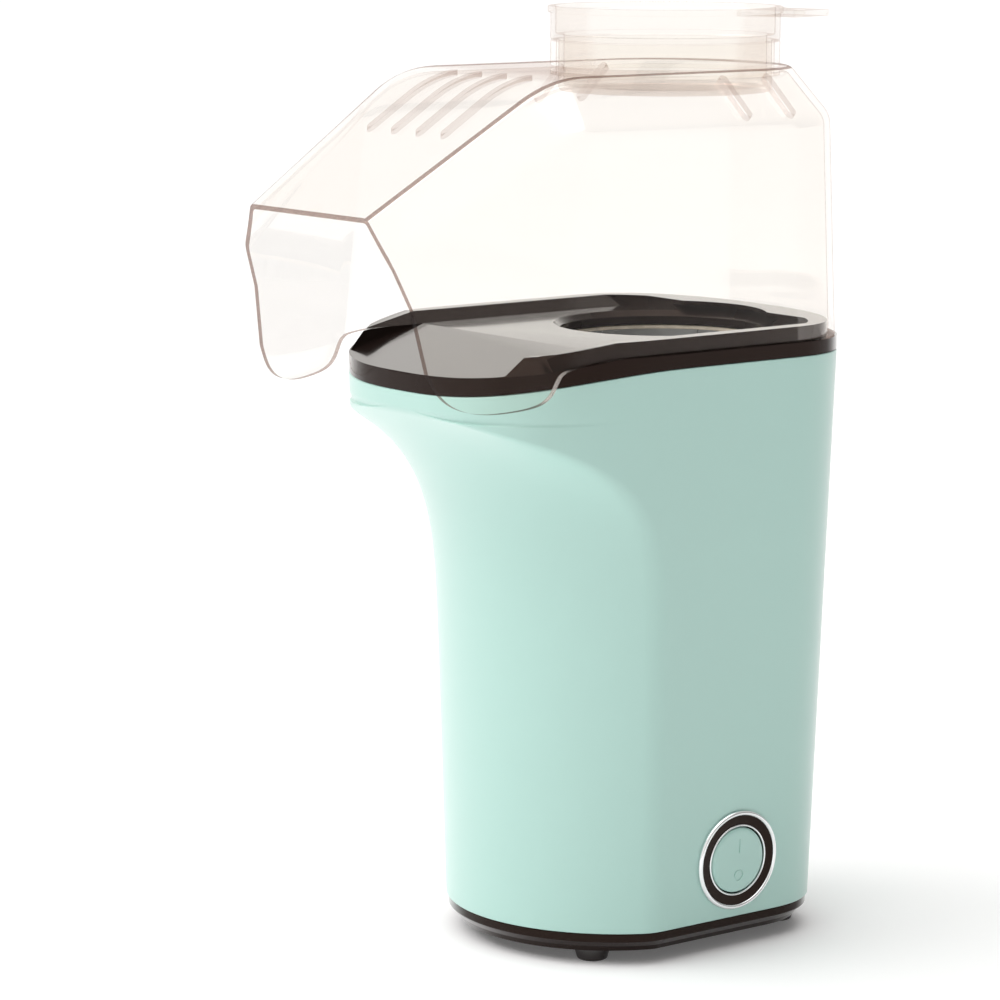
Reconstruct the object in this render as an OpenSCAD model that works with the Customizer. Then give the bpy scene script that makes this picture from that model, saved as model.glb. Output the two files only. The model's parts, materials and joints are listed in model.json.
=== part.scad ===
// Hot-air popcorn maker: clear lift-off chute cover, measuring cup, scooped body,
// popping chamber, heater, blower and motor. Millimetres, Z up, front faces -Y.
// The origin is on the table, under the centre of the whole outline.

/* [Body] */
// Half of the body's width at its top edge
top_half_width = 64; // [50:0.5:80]
// How far each flank leans in from the top edge to the bottom edge
flank_draft = 9.6; // [2:0.2:15]
// Height of the coloured body, bottom edge to top edge
body_height = 198.7; // [150:0.1:250]
// Space between the heater shroud and the body's rear wall
rear_room = 4.9; // [3:0.1:20]
// How far the rear wall leans in towards the bottom
rear_draft = 4.4; // [1:0.2:8]
// Where the flat flank ends and the rear curve starts
rear_straight = 8; // [0:0.5:20]
// Squareness of the rear curve
rear_power = 2.4; // [2:0.05:4]
// Distance from the chamber axis to the tip of the spout nose
nose_reach = 116.4; // [105:0.2:140]
// Where the flat flank ends and the nose curve starts
nose_straight = 40.9; // [20:0.1:55]
// Squareness of the nose curve
nose_power = 2.85; // [2:0.05:4]
// How far the top edge falls from the flank to the nose tip
nose_drop = 8.5; // [3:0.1:15]
// Height of the coloured band under the nose tip
nose_band = 6.9; // [4:0.1:12]
// Distance from the chamber axis to the front of the column at its foot
column_reach = 81.5; // [75:0.1:92]
// Distance from the chamber axis to the crease between flank and column
column_shoulder = 47; // [42:0.1:60]
// Height over which the column flares out to the nose
scoop_height = 99; // [60:1:140]
// How sharply the flare turns out near its top
scoop_power = 4.1; // [2:0.1:6]
// How sharply the crease beside the flare turns out near its top
crease_power = 4.95; // [2:0.05:7]
// Wall of the body shell
body_wall = 2.6; // [1.8:0.1:4]

/* [Base] */
// Height of the feet, table to the underside of the base plate
foot_height = 4.6; // [4:0.1:12]
// Height of the base plate's visible edge
plate_height = 7.2; // [5:0.1:15]
// Inset of the base plate's edge from the body's bottom edge
plate_inset = 0.7; // [0.2:0.1:2]
// Size of the bevel round the underside
plate_bevel = 3.2; // [1:0.1:5]
// Thickness of the base plate's floor
plate_floor = 2.6; // [2:0.1:4]
// Radius of a foot
foot_r = 6.2; // [5:0.1:9]
// Distance of each foot from the middle, sideways
foot_x = 32.6; // [20:0.1:40]
// Distance of the front feet ahead of the chamber axis
foot_front = 57.1; // [45:0.1:60]
// Distance of the rear feet behind the chamber axis
foot_rear = 29; // [15:0.1:32]
// Width of one air intake slot
intake_slot = 3; // [2:0.1:3.6]
// Distance between air intake slots
intake_pitch = 6.6; // [5:0.1:10]
// Reach of the air intake field from the chamber axis
intake_reach = 23; // [15:0.5:26]

/* [Deck] */
// Height of the dark band between the body and the cover
deck_band = 4.9; // [3:0.1:8]
// Height of the raised collar inside the cover
collar_height = 5.2; // [3:0.1:10]
// Thickness of the deck's skin
deck_skin = 2.4; // [1.6:0.1:3.5]
// Half of the flat floor of the spout slide
slide_half_width = 49; // [44:0.5:51]
// Where the slide starts to fall, ahead of the chamber axis
slide_start = 70; // [60:0.5:76]
// How far the slide falls by the nose tip
slide_fall = 7.6; // [4:0.1:12]
// Where the collar's full height ends and its ramp starts, ahead of the chamber axis
collar_front = 89.5; // [80:0.5:92]
// Depth of the skirt that centres the deck in the body
skirt_depth = 5; // [3:0.1:8]
// Hairline gap between parts that are screwed or pressed together
seam = 0.15; // [0.05:0.01:0.3]

/* [Cover] */
// Height of the cover from its ledge to the flat roof
cover_height = 93.2; // [70:0.1:120]
// Wall of the clear cover
cover_wall = 2; // [1.4:0.1:3]
// Clearance round the lift-off cover
cover_gap = 0.4; // [0.35:0.05:1]
// How far the cover's flank leans in by the shoulder crease
cover_lean = 3; // [1:0.1:6]
// Height of the shoulder crease below the roof
crease_drop = 16.1; // [10:0.1:25]
// How far the roof edge stands in from the shoulder crease
crease_inset = 18.6; // [5:0.1:20]
// How far the cover's rear wall leans in by the shoulder crease
cover_rear_lean = 2.6; // [0.5:0.1:6]
// How far the cover's rear wall stands in from the body's rear
cover_rear_inset = 1.6; // [0.5:0.1:4]
// Flat roof left behind the cup's neck
roof_margin = 2; // [0.5:0.1:4]
// Distance from the chamber axis to the top edge of the chute mouth
chute_reach = 153.9; // [140:0.1:180]
// Where the roof turns down into the chute, ahead of the chamber axis
roof_front = 84.6; // [60:0.1:92]
// Where the shoulder crease turns down, ahead of the chamber axis
crease_front = 88; // [76:0.5:95]
// Where the flank turns in towards the chute, ahead of the chamber axis
flank_front = 94.7; // [85:0.1:105]
// How far the chute roof falls by the mouth
chute_fall = 43.6; // [30:0.1:60]
// Half of the width of the mouth's top edge
mouth_top_half = 33.6; // [25:0.1:45]
// Half of the width across the mouth's upper corners
mouth_half = 42.9; // [35:0.1:50]
// Depth of the chamfer at the mouth
mouth_chamfer = 14.9; // [8:0.1:22]
// How far the side lobes hang below the ledge
lobe_drop = 14.9; // [8:0.1:20]
// Length of a roof vent, seen from above
vent_length = 37.8; // [20:0.1:50]
// Width of a vent slot
vent_width = 3.2; // [2:0.1:3.8]
// Distance between the roof vents
vent_pitch = 13.95; // [10:0.05:18]
// Height of the cup's neck above the roof
neck_height = 8.4; // [6:0.1:15]
// Outer radius of the cup's neck
neck_r = 40.5; // [36:0.1:46]

/* [Measuring cup] */
// Height of the cup above the neck
cup_rise = 11.7; // [8:0.1:20]
// Depth of the cup below its shoulder
cup_depth = 18; // [12:0.1:30]
// Wall of the cup
cup_wall = 1.8; // [1.2:0.1:3]
// Clearance between the cup and the neck
cup_gap = 0.9; // [0.4:0.05:1.5]
// How far the rim stands out from the cup
rim_out = 1; // [0.5:0.1:3]
// Thickness of the rim and of the handle
rim_height = 2.2; // [1.5:0.1:4]
// Reach of the handle's end from the cup's axis
handle_reach = 61.5; // [55:0.1:70]
// Width of the handle
handle_width = 24; // [15:0.5:30]
// Direction of the handle, from the right towards the rear
handle_angle = 16; // [0:1:90]

/* [Chamber and heater] */
// Inner radius of the popping chamber
chamber_r = 37; // [32:0.5:39]
// Depth of the popping chamber
chamber_depth = 86; // [60:1:100]
// Wall of the popping chamber
chamber_wall = 1; // [0.8:0.1:2]
// Number of air louvres round the chamber
louvre_count = 16; // [8:1:24]
// Length of one louvre
louvre_length = 12; // [6:0.5:18]
// Width of one louvre
louvre_width = 1.8; // [1:0.1:3]
// Gap between the chamber and the heater shroud
shroud_gap = 4.5; // [3:0.1:6]
// Wall of the heater shroud
shroud_wall = 0.8; // [0.6:0.1:1.5]
// Height of the heater below the chamber
heater_height = 40; // [30:1:50]
// Radius of the heating coil
coil_r = 29; // [20:0.5:31]
// Radius of the coil's wire
coil_wire_r = 0.7; // [0.4:0.05:1]
// Number of turns in the heating coil
coil_turns = 5; // [3:1:6]

/* [Blower and motor] */
// Space between the blower housing and the body's rear wall
blower_room = 1.2; // [0.5:0.1:6]
// Wall of the blower housing
blower_wall = 2; // [1.5:0.1:3]
// Height of the blower housing
blower_height = 26; // [20:0.5:30]
// Space between the fan and the blower housing's wall
fan_room = 4; // [1:0.1:8]
// Height of the fan's blades
blade_height = 14; // [8:0.5:17]
// Number of fan blades
blade_count = 10; // [6:1:16]
// Radius of the motor shaft
shaft_r = 1.5; // [1:0.05:2.5]
// Running clearance round a turning shaft or pin
run_gap = 0.05; // [0.01:0.01:0.1]
// Radius of the motor can
motor_r = 16.5; // [14:0.1:19]
// Length of the motor can
motor_length = 30; // [24:0.5:34]

/* [Switch and cord outlet] */
// Outer radius of the bright switch ring
ring_r = 17.9; // [15:0.1:19]
// Radius of the switch button
button_r = 11.75; // [9:0.05:13]
// Height of the switch's centre above the body's bottom edge
switch_rise = 21; // [20:0.5:60]
// Distance of the switch ahead of the chamber axis
switch_front = 10.5; // [4:0.5:20]
// Clearance round the moving button
button_gap = 0.45; // [0.4:0.01:0.8]
// Radius of the cord outlet's bore
outlet_r = 3.6; // [3:0.1:5]
// Height of the cord outlet above the body's bottom edge
outlet_rise = 16; // [12:0.5:30]

/* [Hidden] */
$fn = 64;
plate_z = foot_height;
foot_recess = foot_height - 2;
body_z = foot_height + plate_height;
edge_z = body_z + body_height;
ledge_z = edge_z + deck_band;
collar_z = ledge_z + collar_height;
roof_z = ledge_z + cover_height;
neck_z = roof_z + neck_height;
cup_z = neck_z + cover_gap + cup_rise;
band_z = edge_z - nose_drop - nose_band;
scoop_z = band_z - scoop_height;
shroud_r = chamber_r + chamber_wall + shroud_gap;
rear_reach = shroud_r + rear_room + body_wall;
axis_y = (chute_reach - rear_reach) / 2;
nose_depth = nose_reach - nose_straight;
rear_depth = rear_reach - rear_straight;
slide_z = ledge_z + 1.4;
nose_edge_z = ledge_z - slide_fall + 0.8;
ledge_slope = (ledge_z - nose_edge_z) / (nose_reach - slide_start);
slide_drop = (slide_z - nose_edge_z) * (nose_reach + 10 - slide_start) / (nose_reach - slide_start);
ramp_reach = nose_reach - 10.1;
ramp_half = top_half_width
    * pow(cos(asin(pow((ramp_reach - nose_straight) / nose_depth, nose_power / 2))), 2 / nose_power);
crease_z = roof_z - crease_drop;
crease_half = top_half_width - cover_lean;
roof_half = crease_half - crease_inset;
cover_rear = rear_reach - cover_rear_inset;
roof_rear = neck_r + roof_margin;
flank_tilt = atan(flank_draft / body_height);
switch_z = body_z + switch_rise;
outlet_z = body_z + outlet_rise;
chamber_top = edge_z - 0.4;
chamber_floor = chamber_top - chamber_depth;
shroud_top = chamber_floor + 34;
heater_z = chamber_floor - heater_height - 4;
blower_z = heater_z - 2 - blower_height;
blower_r = rear_reach - rear_draft * (1 - (blower_z - body_z) / body_height)
    - body_wall - blower_room;
fan_r = blower_r - blower_wall - fan_room;
fan_z = blower_z + blower_wall + 3;
motor_top = blower_z - 1.5;
motor_z = motor_top - motor_length;
bell_z = motor_z - 5;
plate_top = plate_z + plate_floor;
barrel_r = ring_r - 2.4;
bezel_r = ring_r - 1.7;
collar_inset = cover_wall + 2 * cover_gap;
neck_in = neck_r - cover_wall;
cup_low_r = neck_in - cup_gap;
cup_high_r = neck_r;
pin_z = -1.5;
rear_steps = 8;
nose_steps = 10;
front_steps = 8;

// Which sub-part to draw

// ---- shared curves -------------------------------------------------------
function part_of(z) = (z - body_z) / body_height;
function half_at(z) = top_half_width - flank_draft * (1 - part_of(z));
function rear_at(z) = rear_depth - rear_draft * (1 - part_of(z));
function lobe(a, power) = pow(abs(a), 2 / power);
function ledge_at(y) = ledge_z - ledge_slope * max(0, -y - slide_start);
function flare(z, power) = pow(min(1, max(0, (z - scoop_z) / scoop_height)), power);
function tip_at(z) =
    let (foot = column_reach + 2.9 * part_of(z))
    foot + (nose_reach - foot) * flare(z, scoop_power);
function shoulder_at(z) =
    let (foot = column_shoulder + 6.8 * part_of(z))
    foot + (nose_reach - 1 - foot) * flare(z, crease_power);
function sag(x, w, s) =
    let (r = (w * w + s * s) / (2 * s))
    r - sqrt(max(0, r * r - x * x));
function scoop_y(x, z, w) =
    -tip_at(z) + sag(min(abs(x), w), w, tip_at(z) - shoulder_at(z));
function nose_x(a, w) = w * lobe(cos(a), nose_power);
function nose_y(a, t) = -nose_straight - (nose_depth - t) * lobe(sin(a), nose_power);
function crease_at(z, t, lo, hi, n) =
    let (
        mid = (lo + hi) / 2,
        w = half_at(z) - t,
        over = nose_y(mid, t) > scoop_y(nose_x(mid, w), z - 0.8 * t, w) + 0.8 * t
    )
    n == 0 ? mid : over ? crease_at(z, t, mid, hi, n - 1) : crease_at(z, t, lo, mid, n - 1);
function top_edge(y) =
    edge_z - (y < -nose_straight ? nose_drop * pow((-nose_straight - y) / nose_depth, 2) : 0);

// One side of the body's outline at a height, from the rear middle to the front middle.
function half_loop(z, t, full) =
    let (
        w = half_at(z) - t,
        b = rear_at(z) - t,
        stop = full ? 80 : min(80, crease_at(z, t, 0, 90, 22)),
        xc = nose_x(stop, w)
    )
    concat(
        [for (i = [0:rear_steps])
            let (a = 90 - 90 * i / rear_steps)
            [w * (i == 0 ? 0 : lobe(cos(a), rear_power)),
             rear_straight + b * lobe(sin(a), rear_power)]],
        [for (i = [0:nose_steps])
            let (a = stop * i / nose_steps)
            [nose_x(a, w), nose_y(a, t)]],
        [for (i = [1:front_steps])
            let (x = xc * (1 - i / front_steps), a = stop + (90 - stop) * i / front_steps)
            full ? [i == front_steps ? 0 : nose_x(a, w), nose_y(a, t)]
                 : [x, scoop_y(x, z - 0.8 * t, w) + 0.8 * t]]);
function whole(h) =
    concat(h, [for (i = [len(h) - 2:-1:1]) [-h[i][0], h[i][1]]]);
function body_loop(z, t, full) = whole(half_loop(z, t, full));
function at_height(loop, z) = [for (p = loop) [p[0], p[1], z]];

module on_axis() {
    translate([0, axis_y, 0])
    children();
}

// A closed solid between stacked loops of equal length.
module loft(loops) {
    n = len(loops[0]);
    m = len(loops);
    polyhedron(
        points = [for (l = loops) each l],
        faces = concat(
            [[for (i = [n - 1:-1:0]) i]],
            [for (k = [0:m - 2], i = [0:n - 1])
                let (j = (i + 1) % n)
                [k * n + j, (k + 1) * n + j, (k + 1) * n + i, k * n + i]],
            [[for (i = [0:n - 1]) (m - 1) * n + i]]));
}

// A wall between outer loops and inner loops, open at both ends.
module tube(outer, inner) {
    n = len(outer[0]);
    m = len(outer);
    s = n * m;
    polyhedron(
        points = concat([for (l = outer) each l], [for (l = inner) each l]),
        faces = concat(
            [for (k = [0:m - 2], i = [0:n - 1])
                let (j = (i + 1) % n)
                [k * n + j, (k + 1) * n + j, (k + 1) * n + i, k * n + i]],
            [for (k = [0:m - 2], i = [0:n - 1])
                let (j = (i + 1) % n)
                [s + k * n + i, s + (k + 1) * n + i, s + (k + 1) * n + j, s + k * n + j]],
            [for (i = [0:n - 1])
                let (j = (i + 1) % n, k = (m - 1) * n)
                [k + i, k + j, s + k + j, s + k + i]],
            [for (i = [0:n - 1])
                let (j = (i + 1) % n)
                [s + i, s + j, j, i]]));
}

module ring(r_out, r_in, h) {
    difference() {
        cylinder(r = r_out, h = h);
        translate([0, 0, -1])
        cylinder(r = r_in, h = h + 2);
    }
}

// A plate across the part, drawn as a side view and as thick as asked.
module side_slab(points, half) {
    rotate([90, 0, 90])
    translate([0, 0, -half])
    linear_extrude(height = 2 * half)
    polygon(points);
}

module on_flank() {
    translate([half_at(switch_z), axis_y - switch_front, switch_z])
    rotate([0, 90 + flank_tilt, 0])
    children();
}

// A round wire through a list of points.
module wire(points, r) {
    for (i = [0:len(points) - 2]) {
        a = points[i];
        d = points[i + 1] - a;
        translate(a)
        rotate([0, acos(d[2] / norm(d)), atan2(d[1], d[0])])
        cylinder(r = r, h = norm(d), $fn = 24);
    }
    for (i = [1:len(points) - 2])
        translate(points[i])
        sphere(r = r * 1.15, $fn = 24);
}

// ---- body ------------------------------------------------------------------
levels = [0, 0.22, 0.42, 0.52, 0.6, 0.66, 0.71, 0.76, 0.8, 0.832, 0.86, 0.882, 0.9, 0.912];
function level_z(f) = body_z + (band_z - body_z) * f / 0.92;

module housing() {
    heights = [for (f = levels) level_z(f)];
    color("paleturquoise")
    difference() {
        on_axis()
        tube(
            concat(
                [for (z = heights) at_height(body_loop(z, 0, false), z)],
                [at_height(body_loop(band_z, 0, true), band_z)],
                [[for (p = body_loop(edge_z, 0, true)) [p[0], p[1], top_edge(p[1])]]]),
            concat(
                [for (z = heights) at_height(body_loop(z, body_wall, false), z)],
                [at_height(body_loop(band_z, body_wall, true), band_z)],
                [[for (p = body_loop(edge_z, body_wall, true)) [p[0], p[1], top_edge(p[1])]]]));
        on_flank()
        translate([0, 0, -12])
        cylinder(r = barrel_r + 0.2, h = 24);
        translate([0, axis_y + rear_straight, outlet_z])
        rotate([-90, 0, 0])
        cylinder(r = outlet_r + 2, h = rear_reach);
    }
}

module base_plate() {
    color("#3a2f2d")
    difference() {
        on_axis()
        union() {
            loft([
                at_height(body_loop(body_z, plate_inset + plate_bevel, false), plate_z),
                at_height(body_loop(body_z, plate_inset, false), plate_z + plate_bevel * 0.9),
                at_height(body_loop(body_z, plate_inset, false), body_z - seam)]);
            translate([0, 0, body_z - 1])
            linear_extrude(height = 4.5)
            polygon(body_loop(body_z, body_wall + 0.9, false));
        }
        on_axis()
        translate([0, 0, plate_top])
        linear_extrude(height = 40)
        polygon(body_loop(body_z, body_wall + 2.7, false));
        on_axis()
        intersection() {
            translate([0, 0, plate_z - 1])
            cylinder(r = intake_reach, h = plate_floor + 2);
            for (i = [-3:3])
                translate([i * intake_pitch - intake_slot / 2, -60, plate_z - 1])
                cube([intake_slot, 120, plate_floor + 2]);
        }
        foot_places()
        translate([0, 0, plate_z - 1])
        cylinder(r = 1.6, h = 20);
    }
    color("#3a2f2d")
    foot_places()
    translate([0, 0, plate_top])
    ring(4, 1.6, 9);
}

module foot_places() {
    for (s = [-1, 1], y = [-foot_front, foot_rear])
        translate([s * foot_x, axis_y + y, 0])
        children();
}

module feet() {
    color("#26201f")
    foot_places()
    rotate_extrude()
    polygon([
        [1.6, foot_recess], [3, foot_recess], [3, 0], [foot_r - 1.2, 0], [foot_r - 0.5, 0.6],
        [foot_r, plate_z - 1], [foot_r, plate_z], [1.6, plate_z]]);
}

module foot_screws() {
    color("silver")
    foot_places()
    union() {
        translate([0, 0, foot_recess - 1.8])
        difference() {
            cylinder(r = 2.6, h = 1.8);
            translate([0, 0, 0.6])
            cube([4, 0.7, 1.4], center = true);
            translate([0, 0, 0.6])
            cube([0.7, 4, 1.4], center = true);
        }
        translate([0, 0, foot_recess - 0.1])
        cylinder(r = 1.5, h = plate_top + 8 - foot_recess);
    }
}

// ---- deck ------------------------------------------------------------------
function deck_under(drop) =
    concat(
        [[rear_reach + 20, edge_z + seam - drop]],
        [for (i = [0:12])
            let (y = -nose_straight - nose_depth * i / 12)
            [y, top_edge(y) + seam - drop]]);

module deck_plan(t, z0, h) {
    translate([0, 0, z0])
    linear_extrude(height = h)
    polygon(body_loop(edge_z, t, true));
}

module deck_slab(drop, lift) {
    side_slab(
        concat(
            deck_under(drop),
            [[-nose_reach - 20, top_edge(-nose_reach) + seam - drop],
             [-nose_reach - 20, nose_edge_z + lift],
             [-nose_reach, nose_edge_z + lift],
             [-slide_start, ledge_z + lift],
             [rear_reach + 20, ledge_z + lift]]),
        top_half_width + 30);
}

// The raised collar, from the rear to y_front, under the cover's own inner form.
module collar_slab(y_front) {
    intersection() {
        cover_form(cover_wall + cover_gap + 0.1, 0);
        side_slab([
            [rear_reach, ledge_z - 1], [-slide_start, ledge_z - 1],
            [y_front, ledge_at(y_front) - 1], [y_front, ledge_at(y_front) + collar_height],
            [-slide_start, collar_z], [rear_reach, collar_z]], top_half_width);
    }
}

screw_spots = [[-50, -52], [50, -52], [-46, 24], [46, 24]];

module deck() {
    color("#4a3b38")
    difference() {
        on_axis()
        union() {
            difference() {
                intersection() {
                    deck_plan(0, band_z - 10, 60);
                    deck_slab(0, 0);
                }
                difference() {
                    intersection() {
                        deck_plan(body_wall + 2.2, band_z - 10, 60);
                        deck_slab(5, -deck_skin);
                    }
                    translate([0, 0, band_z - 20])
                    cylinder(r = chamber_r + 7, h = 60);
                }
            }
            difference() {
                intersection() {
                    deck_plan(body_wall + 0.4, band_z - 20, 60);
                    deck_slab(skirt_depth, -1);
                }
                deck_plan(body_wall + 2.2, band_z - 20, 60);
            }
            difference() {
                union() {
                    intersection() {
                        deck_plan(collar_inset, ledge_z - 8, 45);
                        collar_slab(-collar_front - 4.4);
                    }
                    intersection() {
                        deck_plan(0, ledge_z - 12, 49);
                        collar_slab(-nose_reach - 3);
                        side_slab([
                            [-collar_front - 3.8, ledge_z - 20], [-nose_reach - 3, ledge_z - 20],
                            [-nose_reach - 3, collar_z], [-collar_front - 3.8, collar_z]],
                            top_half_width);
                    }
                }
                for (turn = [-45, -135])
                    translate([turn == -45 ? ramp_half : -ramp_half, -ramp_reach,
                        ledge_at(-ramp_reach)])
                    rotate([0, 58, turn])
                    translate([-60, -60, 0])
                    cube([120, 120, 60]);
            }
        }
        on_axis()
        union() {
            intersection() {
                rotate([90, 0, 0])
                translate([0, 0, -29])
                linear_extrude(height = 29 + 160)
                polygon([
                    [-slide_half_width, slide_z], [slide_half_width, slide_z],
                    [slide_half_width + 8, collar_z + 1], [-slide_half_width - 8, collar_z + 1]]);
                translate([0, 0, ledge_z - 30])
                linear_extrude(height = 60)
                polygon(concat([[-90, -170], [90, -170]],
                    [for (i = [0:14])
                        let (a = 180 * i / 14)
                        [(slide_half_width + 8) * cos(a), 12 + 26 * sin(a)]]));
            }
            intersection() {
                side_slab([
                    [-slide_start, slide_z], [-nose_reach - 10, slide_z - slide_drop],
                    [-nose_reach - 10, collar_z + 1], [-slide_start, collar_z + 1]],
                    top_half_width);
                translate([0, 0, ledge_z - 30])
                linear_extrude(height = 60)
                polygon([
                    [-slide_half_width, 0], [-slide_half_width, -85],
                    [-slide_half_width + 5, -ramp_reach], [-slide_half_width + 5, -nose_reach - 12],
                    [slide_half_width - 5, -nose_reach - 12], [slide_half_width - 5, -ramp_reach],
                    [slide_half_width, -85], [slide_half_width, 0]]);
            }
            translate([0, 0, band_z - 20])
            cylinder(r = chamber_r, h = 60);
            translate([0, 0, slide_z - 2])
            cylinder(r1 = chamber_r, r2 = chamber_r + 4.2, h = 4.2);
            translate([0, 0, band_z - 20])
            cylinder(r = chamber_r + 4.6, h = edge_z - band_z + 20 + 1.2);
        }
        for (p = screw_spots)
            translate([p[0], axis_y + p[1], edge_z - 30])
            cylinder(r = 1.6, h = 32.2);
    }
    color("#4a3b38")
    for (p = screw_spots)
        translate([p[0], axis_y + p[1], edge_z - 12])
        ring(3.6, 1.6, 12 + deck_band - deck_skin + 0.3);
}

module deck_screws() {
    color("silver")
    for (p = screw_spots)
        translate([p[0], axis_y + p[1], edge_z - 20])
        union() {
            cylinder(r = 1.5, h = 20);
            translate([0, 0, 6])
            cylinder(r = 3, h = 1.9);
        }
}

// ---- cover -----------------------------------------------------------------
// One side of the cover at one of its three heights, front to rear middle.
function cover_side(x_front, y_front, z_front, x_fold, y_fold, z_fold, back, power) =
    concat(
        [[x_front, y_front, z_front], [x_fold, y_fold, z_fold]],
        [for (i = [0:10])
            let (a = 90 * i / 10)
            [i == 10 ? 0 : x_fold * lobe(cos(a), power),
             rear_straight + (back - rear_straight) * lobe(sin(a), power), z_fold]]);
function beyond(a, b, y) = a + (b - a) * (y - a[1]) / (b[1] - a[1]);

module cover_form(t, deep) {
    past = -chute_reach - 20 - deep;
    fold = [top_half_width + 1 - t, -flank_front - 1.8, ledge_z - 24];
    low_end = [mouth_half + 4.9 - t, -chute_reach + 15.6 - 10, ledge_z - 24];
    crease = [crease_half - t, -crease_front, crease_z - 0.6 * t];
    crease_end = [mouth_half - t, -chute_reach + 3.8, roof_z - chute_fall - mouth_chamfer - 0.6 * t];
    roof = [roof_half - 0.6 * t, -roof_front - 0.2 * t, roof_z - t];
    roof_end = [mouth_top_half - 0.6 * t, -chute_reach, roof_z - chute_fall - t];
    e0 = beyond(fold, low_end, past);
    e1 = beyond(crease, crease_end, past);
    e2 = beyond(roof, roof_end, past);
    s0 = cover_side(e0[0], past, e0[2], fold[0], fold[1], fold[2] - deep,
        cover_rear + 0.6 - t, rear_power);
    s1 = cover_side(e1[0], past, e1[2], crease[0], crease[1], crease[2],
        cover_rear - cover_rear_lean - t, rear_power);
    s2 = cover_side(e2[0], past, e2[2], roof[0], roof[1], roof[2],
        roof_rear - 0.6 * t, 2);
    n = len(s0);
    m = 2 * n - 1;
    function both(s) = concat(s, [for (i = [n - 2:-1:0]) [-s[i][0], s[i][1], s[i][2]]]);
    polyhedron(
        points = concat(both(s0), both(s1), both(s2)),
        faces = concat(
            [for (k = [0, 1], i = [0:m - 2])
                [k * m + i, (k + 1) * m + i, (k + 1) * m + i + 1, k * m + i + 1]],
            [for (i = [0:n - 3])
                [2 * m + i, 2 * m + m - 1 - i, 2 * m + m - 2 - i, 2 * m + i + 1]],
            [[2 * m + n - 2, 2 * m + n, 2 * m + n - 1]],
            [for (i = [0:n - 3])
                [i + 1, m - 2 - i, m - 1 - i, i]],
            [[n - 1, n, n - 2]],
            [[0, m - 1, 2 * m - 1, 3 * m - 1, 2 * m, m]]));
}

// Side view of everything the cover keeps: roof, mouth edge, lobes and ledge edge.
function mouth_profile() = [
    [rear_reach + 20, ledge_z + cover_gap],
    [-slide_start, ledge_z + cover_gap],
    [-flank_front + 2.2, ledge_z - 1.5],
    [-flank_front - 1.2, ledge_z - lobe_drop * 0.21],
    [-flank_front - 2.6, ledge_z - lobe_drop * 0.35],
    [-flank_front - 4.7, ledge_z - lobe_drop * 0.65],
    [-flank_front - 8, ledge_z - lobe_drop * 0.84],
    [-flank_front - 13, ledge_z - lobe_drop * 0.94],
    [-flank_front - 20, ledge_z - lobe_drop],
    [-flank_front - 27, ledge_z - lobe_drop * 1.02],
    [-flank_front - 33, ledge_z - lobe_drop * 0.96],
    [-flank_front - 38, ledge_z - lobe_drop * 0.82],
    [-flank_front - 41.6, ledge_z - lobe_drop * 0.6],
    [-flank_front - 44, ledge_z - lobe_drop * 0.32],
    [-chute_reach + 13.5, ledge_z - 1],
    [-chute_reach + 9.6, ledge_z + 20],
    [-chute_reach + 3.8, roof_z - chute_fall - mouth_chamfer],
    [-chute_reach, roof_z - chute_fall],
    [-chute_reach, neck_z + 30],
    [rear_reach + 20, neck_z + 30]];

// A straight slot with bevelled ends, lying along X and cut through Z.
module slot(length, width, h) {
    e = length / 2;
    w = width / 2;
    translate([0, 0, -h / 2])
    linear_extrude(height = h)
    polygon([
        [-e, -w * 0.4], [-e + w * 0.6, -w], [e - w * 0.6, -w], [e, -w * 0.4],
        [e, w * 0.4], [e - w * 0.6, w], [-e + w * 0.6, w], [-e, w * 0.4]]);
}

module cover() {
    color("lightgray", 0.4)
    on_axis()
    difference() {
        union() {
            intersection() {
                difference() {
                    cover_form(0, 0);
                    cover_form(cover_wall, 4);
                }
                side_slab(mouth_profile(), top_half_width + 20);
            }
            translate([0, 0, roof_z - cover_wall - 1.4])
            cylinder(r = neck_r, h = neck_height + cover_wall + 1.4);
        }
        translate([0, 0, roof_z - 12])
        cylinder(r = neck_in, h = neck_height + 20);
        for (i = [-1.5:1:1.5])
            translate([i * vent_pitch, -roof_front - vent_length / 2 + 8.3, roof_z - 8])
            rotate([0, 0, 90])
            slot(vent_length, vent_width, 56);
        for (s = [-1, 1], y = [-11.6, 8.3])
            translate([s * (crease_half - crease_inset / 2), y, roof_z - crease_drop / 2])
            rotate([0, s * atan(crease_drop / crease_inset), 0])
            slot(crease_drop + 4, vent_width, 10);
    }
}

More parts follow.
